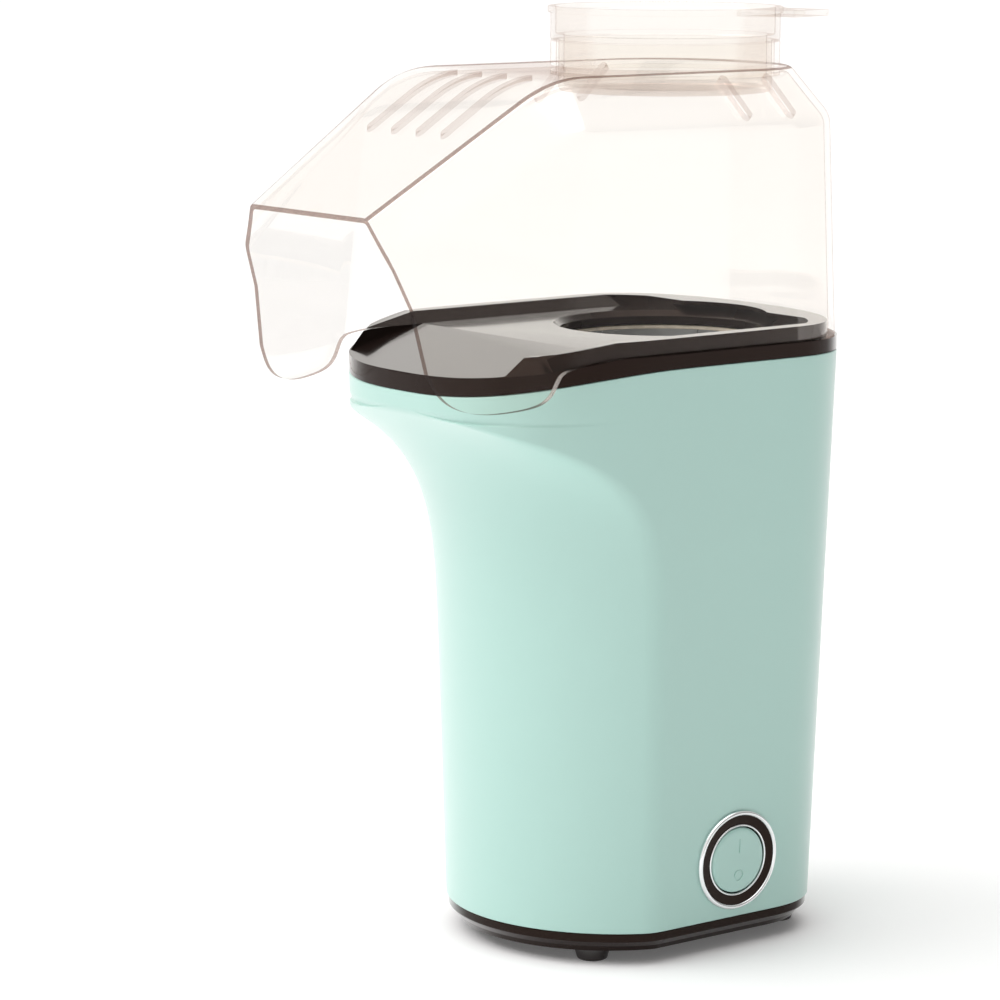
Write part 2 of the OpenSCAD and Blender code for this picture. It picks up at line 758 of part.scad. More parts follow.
module measuring_cup() {
    shoulder_z = neck_z + cover_gap;
    color("lightgray", 0.4)
    on_axis()
    union() {
        difference() {
            union() {
                translate([0, 0, shoulder_z - cup_depth])
                cylinder(r = cup_low_r, h = cup_depth + 1);
                translate([0, 0, shoulder_z])
                cylinder(r = cup_high_r, h = cup_rise);
                translate([0, 0, cup_z - rim_height])
                cylinder(r = cup_high_r + rim_out, h = rim_height);
                rotate([0, 0, handle_angle])
                translate([0, 0, cup_z - rim_height])
                linear_extrude(height = rim_height)
                polygon([
                    [cup_high_r - 6, -handle_width / 2 - 3], [cup_high_r + 4, -handle_width / 2],
                    [handle_reach - 4, -handle_width / 2], [handle_reach - 1.2, -handle_width / 2 + 1.2],
                    [handle_reach, -handle_width / 2 + 4], [handle_reach, handle_width / 2 - 4],
                    [handle_reach - 1.2, handle_width / 2 - 1.2], [handle_reach - 4, handle_width / 2],
                    [cup_high_r + 4, handle_width / 2], [cup_high_r - 6, handle_width / 2 + 3]]);
            }
            translate([0, 0, shoulder_z - cup_depth + cup_wall])
            cylinder(r = cup_low_r - cup_wall, h = cup_depth + 20);
            translate([0, 0, shoulder_z + cup_wall])
            cylinder(r = cup_high_r - cup_wall, h = cup_rise + 1);
            rotate([0, 0, handle_angle])
            translate([handle_reach - 6, 0, cup_z - rim_height - 1])
            cylinder(r = 2, h = rim_height + 2);
        }
    }
}

// ---- switch and cord outlet --------------------------------------------------
module switch_outer_ring() {
    color("silver")
    on_flank()
    rotate_extrude()
    polygon([
        [bezel_r + 0.05, 0.1], [ring_r, 0.1], [ring_r, 0.9], [ring_r - 0.5, 1.5],
        [bezel_r + 0.5, 1.5], [bezel_r + 0.05, 1.1]]);
}

module switch_bezel() {
    color("#3a2f2d")
    on_flank()
    rotate_extrude()
    polygon([
        [button_r + button_gap + 0.75, 0.1], [bezel_r, 0.1], [bezel_r, 1],
        [button_r + button_gap + 0.75, 0.5]]);
}

module switch_inner_ring() {
    color("silver")
    on_flank()
    rotate_extrude()
    polygon([
        [button_r + button_gap, -0.3], [button_r + button_gap + 0.7, -0.3],
        [button_r + button_gap + 0.7, 0.8], [button_r + button_gap + 0.2, 1],
        [button_r + button_gap, 0.8]]);
}

module switch_button() {
    color("paleturquoise")
    on_flank()
    difference() {
        rotate_extrude()
        polygon([
            [0, -3.6], [button_r - 0.6, -3.6], [button_r, -3], [button_r, 0.5],
            [button_r - 0.5, 1], [0, 1.4]]);
        translate([0, 20, pin_z])
        rotate([90, 0, 0])
        cylinder(r = 1 + run_gap, h = 40);
        translate([-7.8, -0.3, 1.05])
        cube([5, 0.6, 2]);
        translate([5.3, 0, 1.05])
        ring(2.1, 1.55, 2);
    }
}

module switch_pin() {
    color("silver")
    on_flank()
    translate([0, barrel_r - 0.6, pin_z])
    rotate([90, 0, 0])
    cylinder(r = 1, h = 2 * barrel_r - 1.2);
}

module switch_body() {
    color("#26201f")
    on_flank()
    difference() {
        union() {
            translate([0, 0, -13])
            cylinder(r = barrel_r, h = 13 - 0.4);
            translate([-9, -7, -23])
            cube([18, 14, 11]);
        }
        translate([0, 0, -11])
        cylinder(r = button_r + button_gap, h = 20);
        translate([0, barrel_r - 0.6, pin_z])
        rotate([90, 0, 0])
        cylinder(r = 1, h = 2 * barrel_r - 1.2);
        for (x = [-5, 5])
            translate([x - 0.45, -3.1, -24])
            cube([0.9, 6.2, 6]);
    }
}

module switch_terminals() {
    color("goldenrod")
    on_flank()
    for (x = [-5, 5])
        difference() {
            translate([x - 0.4, -3, -30])
            cube([0.8, 6, 12]);
            translate([x - 2, 0, -27.5])
            rotate([0, 90, 0])
            cylinder(r = 0.8, h = 4);
        }
}

module cord_outlet() {
    wall_y = rear_straight + rear_at(outlet_z);
    color("#26201f")
    translate([0, axis_y + wall_y, outlet_z])
    rotate([-90, 0, 0])
    difference() {
        union() {
            translate([0, 0, -6])
            cylinder(r = outlet_r + 1.8, h = 8);
            translate([0, 0, 0.1])
            cylinder(r = outlet_r + 4.4, h = 1.8);
            translate([0, 0, -body_wall - 3])
            cylinder(r = outlet_r + 3.6, h = 2.6);
        }
        translate([0, 0, -8])
        cylinder(r = outlet_r, h = 14);
    }
}

// ---- chamber and heater -------------------------------------------------------
module chamber() {
    color("lightgray")
    on_axis()
    difference() {
        union() {
            translate([0, 0, chamber_floor - chamber_wall])
            cylinder(r = chamber_r + chamber_wall, h = chamber_depth + chamber_wall);
            translate([0, 0, chamber_top - chamber_wall])
            cylinder(r = chamber_r + 4.4, h = chamber_wall);
        }
        translate([0, 0, chamber_floor])
        cylinder(r = chamber_r, h = chamber_depth + 10);
        for (i = [0:louvre_count - 1])
            rotate([0, 0, 360 * i / louvre_count])
            translate([chamber_r, 0, chamber_floor + 10])
            rotate([30, 0, 0])
            cube([8, louvre_width, louvre_length], center = true);
    }
}

module chamber_gasket() {
    color("#e6dccb")
    on_axis()
    translate([0, 0, chamber_top + 0.1])
    ring(chamber_r + 4.4, chamber_r + 0.2, 1.2);
}

module heater_shroud() {
    color("silver")
    on_axis()
    difference() {
        union() {
            translate([0, 0, heater_z])
            ring(shroud_r, shroud_r - shroud_wall, shroud_top - heater_z);
            translate([0, 0, heater_z])
            ring(shroud_r + 1.2, shroud_r - shroud_wall, 1.2);
            translate([0, 0, shroud_top - 1])
            ring(shroud_r, chamber_r + chamber_wall + 0.1, 1);
        }
        rotate([0, 0, 180])
        translate([shroud_r, 0, heater_z + 26])
        rotate([0, 90, 0])
        cylinder(r = 5, h = 6, center = true);
    }
}

module heater_floor() {
    color("silver")
    on_axis()
    translate([0, 0, heater_z + 1.3])
    difference() {
        cylinder(r = shroud_r - shroud_wall - 0.1, h = 0.8);
        for (i = [0:7])
            rotate([0, 0, 45 * i + 22.5])
            translate([18, -3, -1])
            cube([16, 6, 3]);
        translate([0, 0, -1])
        cylinder(r = 9, h = 3);
    }
}

coil_step = (heater_height - 14) / (coil_turns - 1);

module coil_rings(r) {
    for (i = [0:coil_turns - 1])
        translate([0, 0, heater_z + 8 + i * coil_step])
        rotate_extrude()
        translate([coil_r, 0])
        circle(r = r, $fn = 16);
}

module mica_cross() {
    color("#b9b2a0")
    on_axis()
    difference() {
        for (a = [0, 90])
            rotate([0, 0, a])
            translate([-coil_r - 4, -0.4, heater_z + 2.3])
            cube([2 * coil_r + 8, 0.8, heater_height - 1]);
        coil_rings(coil_wire_r + 0.15);
    }
}

module heating_coil() {
    color("#8a6f5a")
    on_axis()
    union() {
        coil_rings(coil_wire_r);
        rotate([0, 0, 8])
        translate([coil_r, 0, heater_z + 8])
        cylinder(r = coil_wire_r * 0.9, h = coil_step * (coil_turns - 1), $fn = 16);
    }
}

module coil_terminals() {
    color("goldenrod")
    on_axis()
    for (a = [172, 188])
        rotate([0, 0, a])
        translate([coil_r + coil_wire_r, -1, heater_z + 6.5])
        cube([shroud_r - shroud_wall - 0.3 - coil_r - coil_wire_r, 2, 3]);
}

module thermostat() {
    color("#d9d2c4")
    on_axis()
    translate([-shroud_r + 2, 0, heater_z + 26])
    rotate([0, -90, 0])
    union() {
        cylinder(r = 4.8, h = 4);
        translate([0, 0, 3.4])
        cylinder(r = 6.4, h = 3.4);
        for (y = [-3.4, 3.4])
            translate([-1.5, y - 0.4, 6])
            cube([3, 0.8, 5]);
    }
}

module thermal_fuse() {
    color("#c9c2b2")
    on_axis()
    rotate([0, 0, 150])
    translate([shroud_r + 2.3, 0, heater_z + 18])
    union() {
        cylinder(r = 2.1, h = 11);
        translate([0, 0, -4])
        cylinder(r = 0.5, h = 19, $fn = 16);
    }
}

// ---- blower and motor -----------------------------------------------------------
pillar_spots = [for (a = [35, 130, 210, 300]) (blower_r - 7) * [cos(a), sin(a)]];

module blower_housing() {
    color("#4d4a48")
    on_axis()
    difference() {
        union() {
            translate([0, 0, blower_z])
            ring(blower_r, blower_r - blower_wall, blower_height);
            translate([0, 0, blower_z])
            cylinder(r = blower_r, h = blower_wall);
            for (p = pillar_spots)
                translate([p[0], p[1], plate_top + seam])
                cylinder(r = 3, h = blower_z - plate_top);
        }
        difference() {
            translate([0, 0, blower_z - 1])
            cylinder(r = 31, h = blower_wall + 2);
            translate([0, 0, blower_z - 2])
            cylinder(r = 15, h = blower_wall + 4);
            for (a = [0:60:300])
                rotate([0, 0, a + 30])
                translate([0, -2, blower_z - 2])
                cube([40, 4, blower_wall + 4]);
        }
        translate([0, 0, blower_z - 2])
        cylinder(r = 5.2, h = blower_wall + 4);
        for (a = [45:90:315])
            rotate([0, 0, a])
            translate([10.5, 0, blower_z - 2])
            cylinder(r = 1.35, h = blower_wall + 4);
    }
}

module blower_cap() {
    color("#4d4a48")
    on_axis()
    translate([0, 0, blower_z + blower_height + 0.1])
    difference() {
        cylinder(r = blower_r, h = 1.7);
        translate([0, 0, -1])
        cylinder(r = 33, h = 4);
    }
}

module blower_screws() {
    color("silver")
    on_axis()
    for (a = [45:90:315])
        rotate([0, 0, a])
        translate([10.5, 0, motor_top + 0.3])
        union() {
            cylinder(r = 1.25, h = 1.2 + blower_wall);
            translate([0, 0, 1.25 + blower_wall])
            cylinder(r = 2.3, h = 1.1);
        }
}

module fan() {
    color("#2f2c2b")
    on_axis()
    difference() {
        union() {
            translate([0, 0, fan_z])
            cylinder(r = 6.5, h = blade_height + 2);
            translate([0, 0, fan_z + blade_height])
            cylinder(r = fan_r, h = 1.6);
            for (i = [0:blade_count - 1])
                rotate([0, 0, 360 * i / blade_count])
                translate([19, 0, fan_z])
                rotate([0, 0, 24])
                translate([0, -0.8, 0])
                cube([fan_r - 21, 1.6, blade_height + 0.5]);
        }
        translate([0, 0, fan_z - 1])
        cylinder(r = shaft_r, h = blade_height);
    }
}

module motor_shaft() {
    color("silver")
    on_axis()
    translate([0, 0, bell_z - 1.5])
    cylinder(r = shaft_r, h = fan_z + blade_height - 1 - bell_z + 1.5);
}

module rotor() {
    color("#7d6a58")
    on_axis()
    difference() {
        union() {
            translate([0, 0, motor_z + 9])
            ring(motor_r - 5, shaft_r, motor_length - 17);
            for (e = [motor_z + 7.4, motor_z + motor_length - 8])
                translate([0, 0, e])
                ring(motor_r - 7, shaft_r, 1.8);
        }
        for (a = [0:60:300])
            rotate([0, 0, a])
            translate([motor_r - 6, -0.8, motor_z])
            cube([6, 1.6, motor_length]);
    }
}

module commutator() {
    color("goldenrod")
    on_axis()
    translate([0, 0, motor_z + 1.5])
    ring(3.4, shaft_r, 5.6);
}

module motor_can() {
    color("silver")
    on_axis()
    difference() {
        translate([0, 0, motor_z])
        cylinder(r = motor_r, h = motor_length);
        translate([0, 0, motor_z - 1])
        cylinder(r = motor_r - 1, h = motor_length - 0.2);
        translate([0, 0, motor_top - 4])
        cylinder(r = 4.55, h = 8);
        for (a = [45:90:315])
            rotate([0, 0, a])
            translate([10.5, 0, motor_top - 4])
            cylinder(r = 1.35, h = 8);
    }
}

module motor_magnets() {
    color("#3c3c40")
    on_axis()
    difference() {
        translate([0, 0, motor_z + 7])
        ring(motor_r - 1.05, motor_r - 4, motor_length - 13);
        for (a = [0, 90])
            rotate([0, 0, a])
            translate([-30, -2, motor_z])
            cube([60, a == 0 ? 8 : 1, motor_length]);
    }
}

module motor_bell() {
    color("#e4e0d6")
    on_axis()
    difference() {
        union() {
            translate([0, 0, bell_z])
            cylinder(r = motor_r, h = motor_z - bell_z - 0.05);
            translate([0, 0, motor_z - 0.1])
            ring(motor_r - 1.1, motor_r - 3, 4);
        }
        translate([0, 0, bell_z + 1.6])
        cylinder(r = motor_r - 3, h = 10);
        translate([0, 0, bell_z - 1])
        cylinder(r = 4.05, h = 6);
    }
}

module bearing_top() {
    color("goldenrod")
    on_axis()
    translate([0, 0, motor_top - 2.2])
    ring(4.5, shaft_r + run_gap, 3.6);
}

module bearing_bottom() {
    color("goldenrod")
    on_axis()
    translate([0, 0, bell_z])
    ring(4, shaft_r + run_gap, 3.6);
}

module brushes() {
    color("#3c3c40")
    on_axis()
    for (s = [-1, 1])
        translate([s * 8.4 - 4.7, -1.5, motor_z + 2.5])
        cube([9.4, 3, 3]);
}

board_at = [-34, 11];

module rectifier_board() {
    color("#6b7f4a")
    translate([board_at[0], axis_y + board_at[1], 0])
    difference() {
        union() {
            translate([-12, -11.5, plate_top + 6])
            cube([24, 23, 1.6]);
            for (p = [[-9, -8.5], [9, 8.5]])
                translate([p[0], p[1], plate_top + 0.1])
                cylinder(r = 2, h = 6);
        }
        for (p = [[-9, -8.5], [9, 8.5]])
            translate([p[0], p[1], plate_top + 2])
            cylinder(r = 1, h = 8);
    }
}

module diodes() {
    color("#26201f")
    translate([board_at[0], axis_y + board_at[1], plate_top + 10.2])
    for (i = [0:3])
        translate([-3.8, -7.5 + 5 * i, 0])
        rotate([0, 90, 0])
        union() {
            cylinder(r = 1.9, h = 7.6);
            translate([0, 0, -3])
            cylinder(r = 0.4, h = 13.6, $fn = 16);
        }
}

// ---- wiring ----------------------------------------------------------------------
module mains_leads() {
    wall_y = rear_straight + rear_at(outlet_z);
    tab_x = half_at(switch_z) - 30.3;
    color("#e8e8e4")
    on_axis()
    for (s = [-1, 1])
        wire([
            [0, wall_y - 8, outlet_z - 1.7 * s],
            [21, wall_y - 15, outlet_z - 2.5 * s],
            [tab_x - 3, 4, switch_z - 4 * s + 1],
            [tab_x - 1.2, -switch_front + 2.4, switch_z - 5 * s + 1.4]], 1.1);
}

module motor_leads() {
    color("#c0392b")
    on_axis()
    for (s = [-1, 1])
        wire([
            [board_at[0] + 9, board_at[1] + 5 * s, plate_top + 9.6],
            [-motor_r + 1.5, s * 5, bell_z - 1.4]], 0.9);
}

module heater_leads() {
    color("#f2ead8")
    on_axis()
    for (s = [-1, 1])
        wire([
            [board_at[0] - 9, board_at[1] - 4 + 6 * s, plate_top + 9.2],
            [board_at[0] - 10, board_at[1] - 6 + 6 * s, plate_top + 14],
            [-blower_r - 2.6, 5 * s, blower_z - 6],
            [-blower_r - 2.6, 5 * s, blower_z + blower_height + 4],
            [-shroud_r - 1.2, 5 * s, heater_z + 8]], 1);
}

housing();
base_plate();
feet();
foot_screws();
deck();
deck_screws();
cover();
measuring_cup();
switch_outer_ring();
switch_bezel();
switch_inner_ring();
switch_button();
switch_pin();
switch_body();
switch_terminals();
cord_outlet();
chamber();
chamber_gasket();
heater_shroud();
heater_floor();
mica_cross();
heating_coil();
coil_terminals();
thermostat();
thermal_fuse();
blower_housing();
blower_cap();
blower_screws();
fan();
motor_shaft();
rotor();
commutator();
motor_can();
motor_magnets();
motor_bell();
bearing_top();
bearing_bottom();
brushes();
rectifier_board();
diodes();
mains_leads();
motor_leads();
heater_leads();
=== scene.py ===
"""Looks of the hot-air popcorn maker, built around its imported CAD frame."""

import json
import math

import bmesh
import bpy
from mathutils import Matrix, Vector


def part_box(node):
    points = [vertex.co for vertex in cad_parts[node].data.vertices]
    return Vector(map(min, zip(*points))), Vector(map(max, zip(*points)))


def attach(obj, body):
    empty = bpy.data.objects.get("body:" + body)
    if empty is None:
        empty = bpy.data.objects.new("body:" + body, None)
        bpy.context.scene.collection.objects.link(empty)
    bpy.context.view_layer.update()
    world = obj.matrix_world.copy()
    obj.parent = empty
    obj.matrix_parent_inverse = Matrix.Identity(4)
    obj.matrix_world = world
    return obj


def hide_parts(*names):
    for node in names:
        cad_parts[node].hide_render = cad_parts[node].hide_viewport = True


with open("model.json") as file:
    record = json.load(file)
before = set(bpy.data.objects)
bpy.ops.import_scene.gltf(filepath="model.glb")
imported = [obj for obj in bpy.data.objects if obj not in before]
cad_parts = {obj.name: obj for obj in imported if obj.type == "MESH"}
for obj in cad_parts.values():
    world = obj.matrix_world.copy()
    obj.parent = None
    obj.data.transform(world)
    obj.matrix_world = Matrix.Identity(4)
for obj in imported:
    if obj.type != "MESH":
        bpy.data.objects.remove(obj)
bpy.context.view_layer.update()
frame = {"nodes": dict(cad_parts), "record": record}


# ---- sizes, in millimetres, some read from the frame and the rest given --------
MM = 0.001


def box_mm(node):
    lo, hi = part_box(node)
    return lo / MM, hi / MM


body_lo, body_hi = box_mm("housing")
cover_lo, cover_hi = box_mm("cover")
chamber_lo, chamber_hi = box_mm("chamber")
feet_lo, feet_hi = box_mm("feet")
GASKET_RIM = 4.4

AXIS_Y = (chamber_lo.y + chamber_hi.y) / 2
TOP_HALF = body_hi.x
BODY_Z = body_lo.z
EDGE_Z = body_hi.z
BODY_HEIGHT = EDGE_Z - BODY_Z
REAR_REACH = body_hi.y - AXIS_Y
NOSE_REACH = AXIS_Y - body_lo.y
CHUTE_REACH = AXIS_Y - cover_lo.y
PLATE_Z = box_mm("base_plate")[0].z
COLLAR_Z = box_mm("deck")[1].z
NECK_Z = cover_hi.z
CUP_Z = box_mm("measuring_cup")[1].z
CHAMBER_R = box_mm("chamber_gasket")[1].x - GASKET_RIM

FLANK_DRAFT = 9.6
REAR_DRAFT, REAR_STRAIGHT, REAR_POWER = 4.4, 8.0, 2.4
NOSE_STRAIGHT, NOSE_POWER = 40.9, 2.85
NOSE_DROP, NOSE_BAND = 8.5, 6.9
COLUMN_REACH, COLUMN_FLARE = 81.5, 2.9
SHOULDER_REACH, SHOULDER_FLARE = 47.0, 6.8
SCOOP_HEIGHT, SCOOP_POWER, CREASE_POWER = 99.0, 4.1, 4.95
BODY_WALL, SKIRT_OUT, SKIRT_IN = 2.6, 0.4, 2.2
OUTLET_SEAT_R, OUTLET_RISE = 5.6, 16.0
PLATE_INSET, PLATE_LIP_IN, PLATE_LIP_OUT, PLATE_LIP_RISE = 0.7, 5.3, 3.5, 3.3
INTAKE_R, INTAKE_PITCH, INTAKE_HALF = 23.0, 6.6, 1.5
FOOT_R, FOOT_TIP_R, FOOT_RECESS_R, FOOT_BORE_R = 6.2, 5.3, 3.0, 1.6
DECK_BAND, COLLAR_HEIGHT, DECK_SKIN = 4.9, 5.2, 2.4
SLIDE_HALF, SLIDE_START, SLIDE_FALL = 49.0, 70.0, 7.6
COLLAR_FRONT, RAMP_BACK, WIDE_BACK = 89.5, 10.1, 85.0
COLLAR_OVERRUN, RAMP_OVERLAP, SLIDE_NARROWING = 4.4, 3.8, 5.0
FACET_TURN, FACET_LEAN = math.radians(45), math.radians(58)
WELL_LEAD_IN, WELL_SEAT = 4.2, 4.6
COVER_WALL, COVER_GAP, COVER_LEAN = 2.0, 0.4, 3.0
CREASE_DROP, CREASE_INSET = 16.1, 18.6
COVER_REAR_LEAN, COVER_REAR_INSET, ROOF_MARGIN = 2.6, 1.6, 2.0
ROOF_FRONT, CREASE_FRONT, FLANK_FRONT = 84.6, 88.0, 94.7
CHUTE_FALL, MOUTH_TOP_HALF, MOUTH_HALF, MOUTH_CHAMFER = 43.6, 33.6, 42.9, 14.9
LOBE_DROP = 14.9
VENT_LENGTH, VENT_WIDTH, VENT_PITCH = 37.8, 3.2, 13.95
NECK_R, NECK_HEIGHT = 40.5, 8.4
CUP_DEPTH, CUP_WALL, CUP_GAP = 18.0, 1.8, 0.9
RIM_OUT, RIM_HEIGHT = 1.0, 2.2
HANDLE_REACH, HANDLE_WIDTH, HANDLE_ANGLE = 61.5, 24.0, math.radians(16)
RING_R, BUTTON_R, BUTTON_GAP, SWITCH_HOLE_INSET = 17.9, 11.75, 0.45, 2.2
SWITCH_RISE, SWITCH_FRONT = 21.0, 10.5
SEAM = 0.15

LEDGE_Z = EDGE_Z + DECK_BAND
SLIDE_Z = LEDGE_Z + 1.4
NOSE_EDGE_Z = LEDGE_Z - SLIDE_FALL + 0.8
BAND_Z = EDGE_Z - NOSE_DROP - NOSE_BAND
SCOOP_Z = BAND_Z - SCOOP_HEIGHT
ROOF_Z = NECK_Z - NECK_HEIGHT
CREASE_Z = ROOF_Z - CREASE_DROP
CREASE_HALF = TOP_HALF - COVER_LEAN
ROOF_HALF = CREASE_HALF - CREASE_INSET
NOSE_DEPTH = NOSE_REACH - NOSE_STRAIGHT
REAR_DEPTH = REAR_REACH - REAR_STRAIGHT
FLANK_TILT = math.atan(FLANK_DRAFT / BODY_HEIGHT)
SWITCH_Z = BODY_Z + SWITCH_RISE
LEDGE_SLOPE = (LEDGE_Z - NOSE_EDGE_Z) / (NOSE_REACH - SLIDE_START)
SLIDE_SLOPE = (SLIDE_Z - NOSE_EDGE_Z) / (NOSE_REACH - SLIDE_START)
RAMP_REACH = NOSE_REACH - RAMP_BACK
RAMP_HALF = TOP_HALF * math.cos(math.asin(
    ((RAMP_REACH - NOSE_STRAIGHT) / NOSE_DEPTH) ** (NOSE_POWER / 2))) ** (2 / NOSE_POWER)


def ledge_at(y):
    return LEDGE_Z - LEDGE_SLOPE * max(0.0, -y - SLIDE_START)


# ---- outline of the body at a height ---------------------------------------------
def part_of(z):
    """How far up the body z is, from 0 to 1."""
    return (z - BODY_Z) / BODY_HEIGHT


def half_at(z):
    return TOP_HALF - FLANK_DRAFT * (1 - part_of(z))


def lobe(value, power):
    """One coordinate of a rounded square; power 2 makes it a circle."""
    return abs(value) ** (2 / power)


def flare(z, power):
    return min(1.0, max(0.0, (z - SCOOP_Z) / SCOOP_HEIGHT)) ** power


def tip_at(z):
    """How far forward the middle of the front reaches; shoulder_at is its two creases."""
    foot = COLUMN_REACH + COLUMN_FLARE * part_of(z)
    return foot + (NOSE_REACH - foot) * flare(z, SCOOP_POWER)


def shoulder_at(z):
    foot = SHOULDER_REACH + SHOULDER_FLARE * part_of(z)
    return foot + (NOSE_REACH - 1 - foot) * flare(z, CREASE_POWER)


def nose(a, w, t):
    return (w * lobe(math.cos(a), NOSE_POWER),
            -NOSE_STRAIGHT - (NOSE_DEPTH - t) * lobe(math.sin(a), NOSE_POWER))


def scoop(x, z, w, t):
    """The front face below the nose: an arc through its tip and both creases."""
    z -= 0.8 * t
    s = tip_at(z) - shoulder_at(z)
    r = (w * w + s * s) / (2 * s)
    return -tip_at(z) + r - math.sqrt(max(0.0, r * r - min(x, w) ** 2)) + 0.8 * t


def bisect(lo, hi, over):
    """The last place between lo and hi where over holds."""
    for _ in range(34):
        mid = (lo + hi) / 2
        lo, hi = (mid, hi) if over(mid) else (lo, mid)
    return lo


def top_edge(y):
    """The shell's upper edge, which sinks toward the tip of the nose."""
    if y > -NOSE_STRAIGHT:
        return EDGE_Z
    return EDGE_Z - NOSE_DROP * ((-NOSE_STRAIGHT - y) / NOSE_DEPTH) ** 2


def bend(a, b, c, steps):
    """Points of a soft corner from a to c around b, ends included."""
    out = []
    for i in range(steps + 1):
        u = i / steps
        out.append(tuple((1 - u) ** 2 * p + 2 * u * (1 - u) * q + u * u * r
                         for p, q, r in zip(a, b, c)))
    return out


REAR_N, FLANK_N, NOSE_N, FRONT_N, SOFT_N = 30, 10, 34, 26, 8


def crease_angle(z, t):
    w = half_at(z) - t

    def over(a):
        x, y = nose(a, w, t)
        return y > scoop(x, z, w, t)
    return min(bisect(0, math.pi / 2, over), math.radians(88))


def half_outline(z, t, full, soft=4.5):
    """One side of the outline, rear middle to front middle."""
    w = half_at(z) - t
    b = REAR_DEPTH - REAR_DRAFT * (1 - part_of(z)) - t
    pts = []
    for i in range(REAR_N + 1):
        a = math.pi / 2 * (1 - i / REAR_N)
        x = 0 if i == 0 else w * lobe(math.cos(a), REAR_POWER)
        pts.append((x, REAR_STRAIGHT + b * lobe(math.sin(a), REAR_POWER)))
    for i in range(1, FLANK_N):
        pts.append((w, REAR_STRAIGHT - (REAR_STRAIGHT + NOSE_STRAIGHT) * i / FLANK_N))
    stop = crease_angle(BAND_Z - 0.01 if full else z, t)
    corner = nose(stop, w, t)

    def gap(p):
        return math.dist(p, corner)
    soft = min(soft, 0.45 * corner[0], 0.7 * gap(nose(0, w, t)))
    if full:
        soft = 0.4
    a_end = bisect(0, stop, lambda a: gap(nose(a, w, t)) > soft)
    for i in range(NOSE_N + 1):
        pts.append(nose(a_end * i / NOSE_N, w, t))
    if full:
        a_on = math.pi / 2 - bisect(0, math.pi / 2 - stop,
                                    lambda a: gap(nose(math.pi / 2 - a, w, t)) > soft)
        pts += bend(pts[-1], corner, nose(a_on, w, t), SOFT_N)[1:]
        for i in range(1, FRONT_N + 1):
            a = a_on + (math.pi / 2 - a_on) * i / FRONT_N
            x, y = nose(a, w, t)
            pts.append((0 if i == FRONT_N else x, y))
    else:
        x_on = bisect(0, corner[0], lambda x: gap((x, scoop(x, z, w, t))) > soft)
        pts += bend(pts[-1], corner, (x_on, scoop(x_on, z, w, t)), SOFT_N)[1:]
        for i in range(1, FRONT_N + 1):
            x = x_on * (1 - i / FRONT_N)
            pts.append((x, scoop(x, z, w, t)))
    return pts


def whole(half):
    return half + [(-x, y) for x, y in half[-2:0:-1]]


def outline(z, t, full):
    return whole(half_outline(z, t, full))


# ---- mesh helpers, all in millimetres until finish_piece --------------------------
def mesh_object(name, verts, faces, merge=0.0, painted_shade_lines=()):
    """A closed mesh. The faces whose places are in the last argument get its second material, a
    painted shade line.
    """
    bm = bmesh.new()
    vs = [bm.verts.new(v) for v in verts]
    for place, f in enumerate(faces):
        if len(set(f)) > 2:
            try:
                bm.faces.new([vs[i] for i in f]).material_index = int(place in painted_shade_lines)
            except ValueError:
                pass
    if merge:
        bmesh.ops.remove_doubles(bm, verts=bm.verts, dist=merge)
        bmesh.ops.dissolve_degenerate(bm, edges=bm.edges, dist=merge / 2)
    bmesh.ops.recalc_face_normals(bm, faces=bm.faces)
    me = bpy.data.meshes.new(name)
    bm.to_mesh(me)
    bm.free()
    ob = bpy.data.objects.new(name, me)
    bpy.context.scene.collection.objects.link(ob)
    return ob


def grid_object(name, rows, closed_rows=True, close_columns=False, caps=True):
    """Rows of equal length; each row is a closed ring when closed_rows."""
    n, m = len(rows[0]), len(rows)
    verts = [p for r in rows for p in r]
    faces = []
    for k in range(m if close_columns else m - 1):
        for i in range(n if closed_rows else n - 1):
            j, l = (i + 1) % n, (k + 1) % m
            faces.append((k * n + i, k * n + j, l * n + j, l * n + i))
    if caps and not close_columns:
        faces.append(tuple(range(n - 1, -1, -1)))
        faces.append(tuple((m - 1) * n + i for i in range(n)))
    return mesh_object(name, verts, faces)


def prism(points, z0, z1, name="tool"):
    return grid_object(name, [[(x, y, z0) for x, y in points], [(x, y, z1) for x, y in points]])


def side_slab(points, half, name="tool"):
    """A side view (y, z) as thick as 2 * half across X."""
    return grid_object(name, [[(-half, y, z) for y, z in points],
                              [(half, y, z) for y, z in points]])


def lathe(profile, steps=96, name="tool", closed=True):
    """Turns an (r, z) profile: a closed ring, or a solid that starts and ends on the axis."""
    rows = [[(r * math.cos(math.tau * i / steps), r * math.sin(math.tau * i / steps), z)
             for i in range(steps)] for r, z in (profile if closed else profile[1:-1])]
    if closed:
        return grid_object(name, rows, close_columns=True)
    verts, faces = [p for row in rows for p in row], []
    n, m = steps, len(rows)
    for k in range(m - 1):
        for i in range(n):
            j = (i + 1) % n
            faces.append((k * n + i, k * n + j, (k + 1) * n + j, (k + 1) * n + i))
    verts += [(0, 0, profile[0][1]), (0, 0, profile[-1][1])]
    for i in range(n):
        j = (i + 1) % n
        faces.append((n * m, j, i))
        faces.append((n * m + 1, (m - 1) * n + i, (m - 1) * n + j))
    return mesh_object(name, verts, faces)


def rod(r, z0, z1, r2=None, steps=128):
    return lathe([(0, z0), (r, z0), (r2 or r, z1), (0, z1)], steps, closed=False)


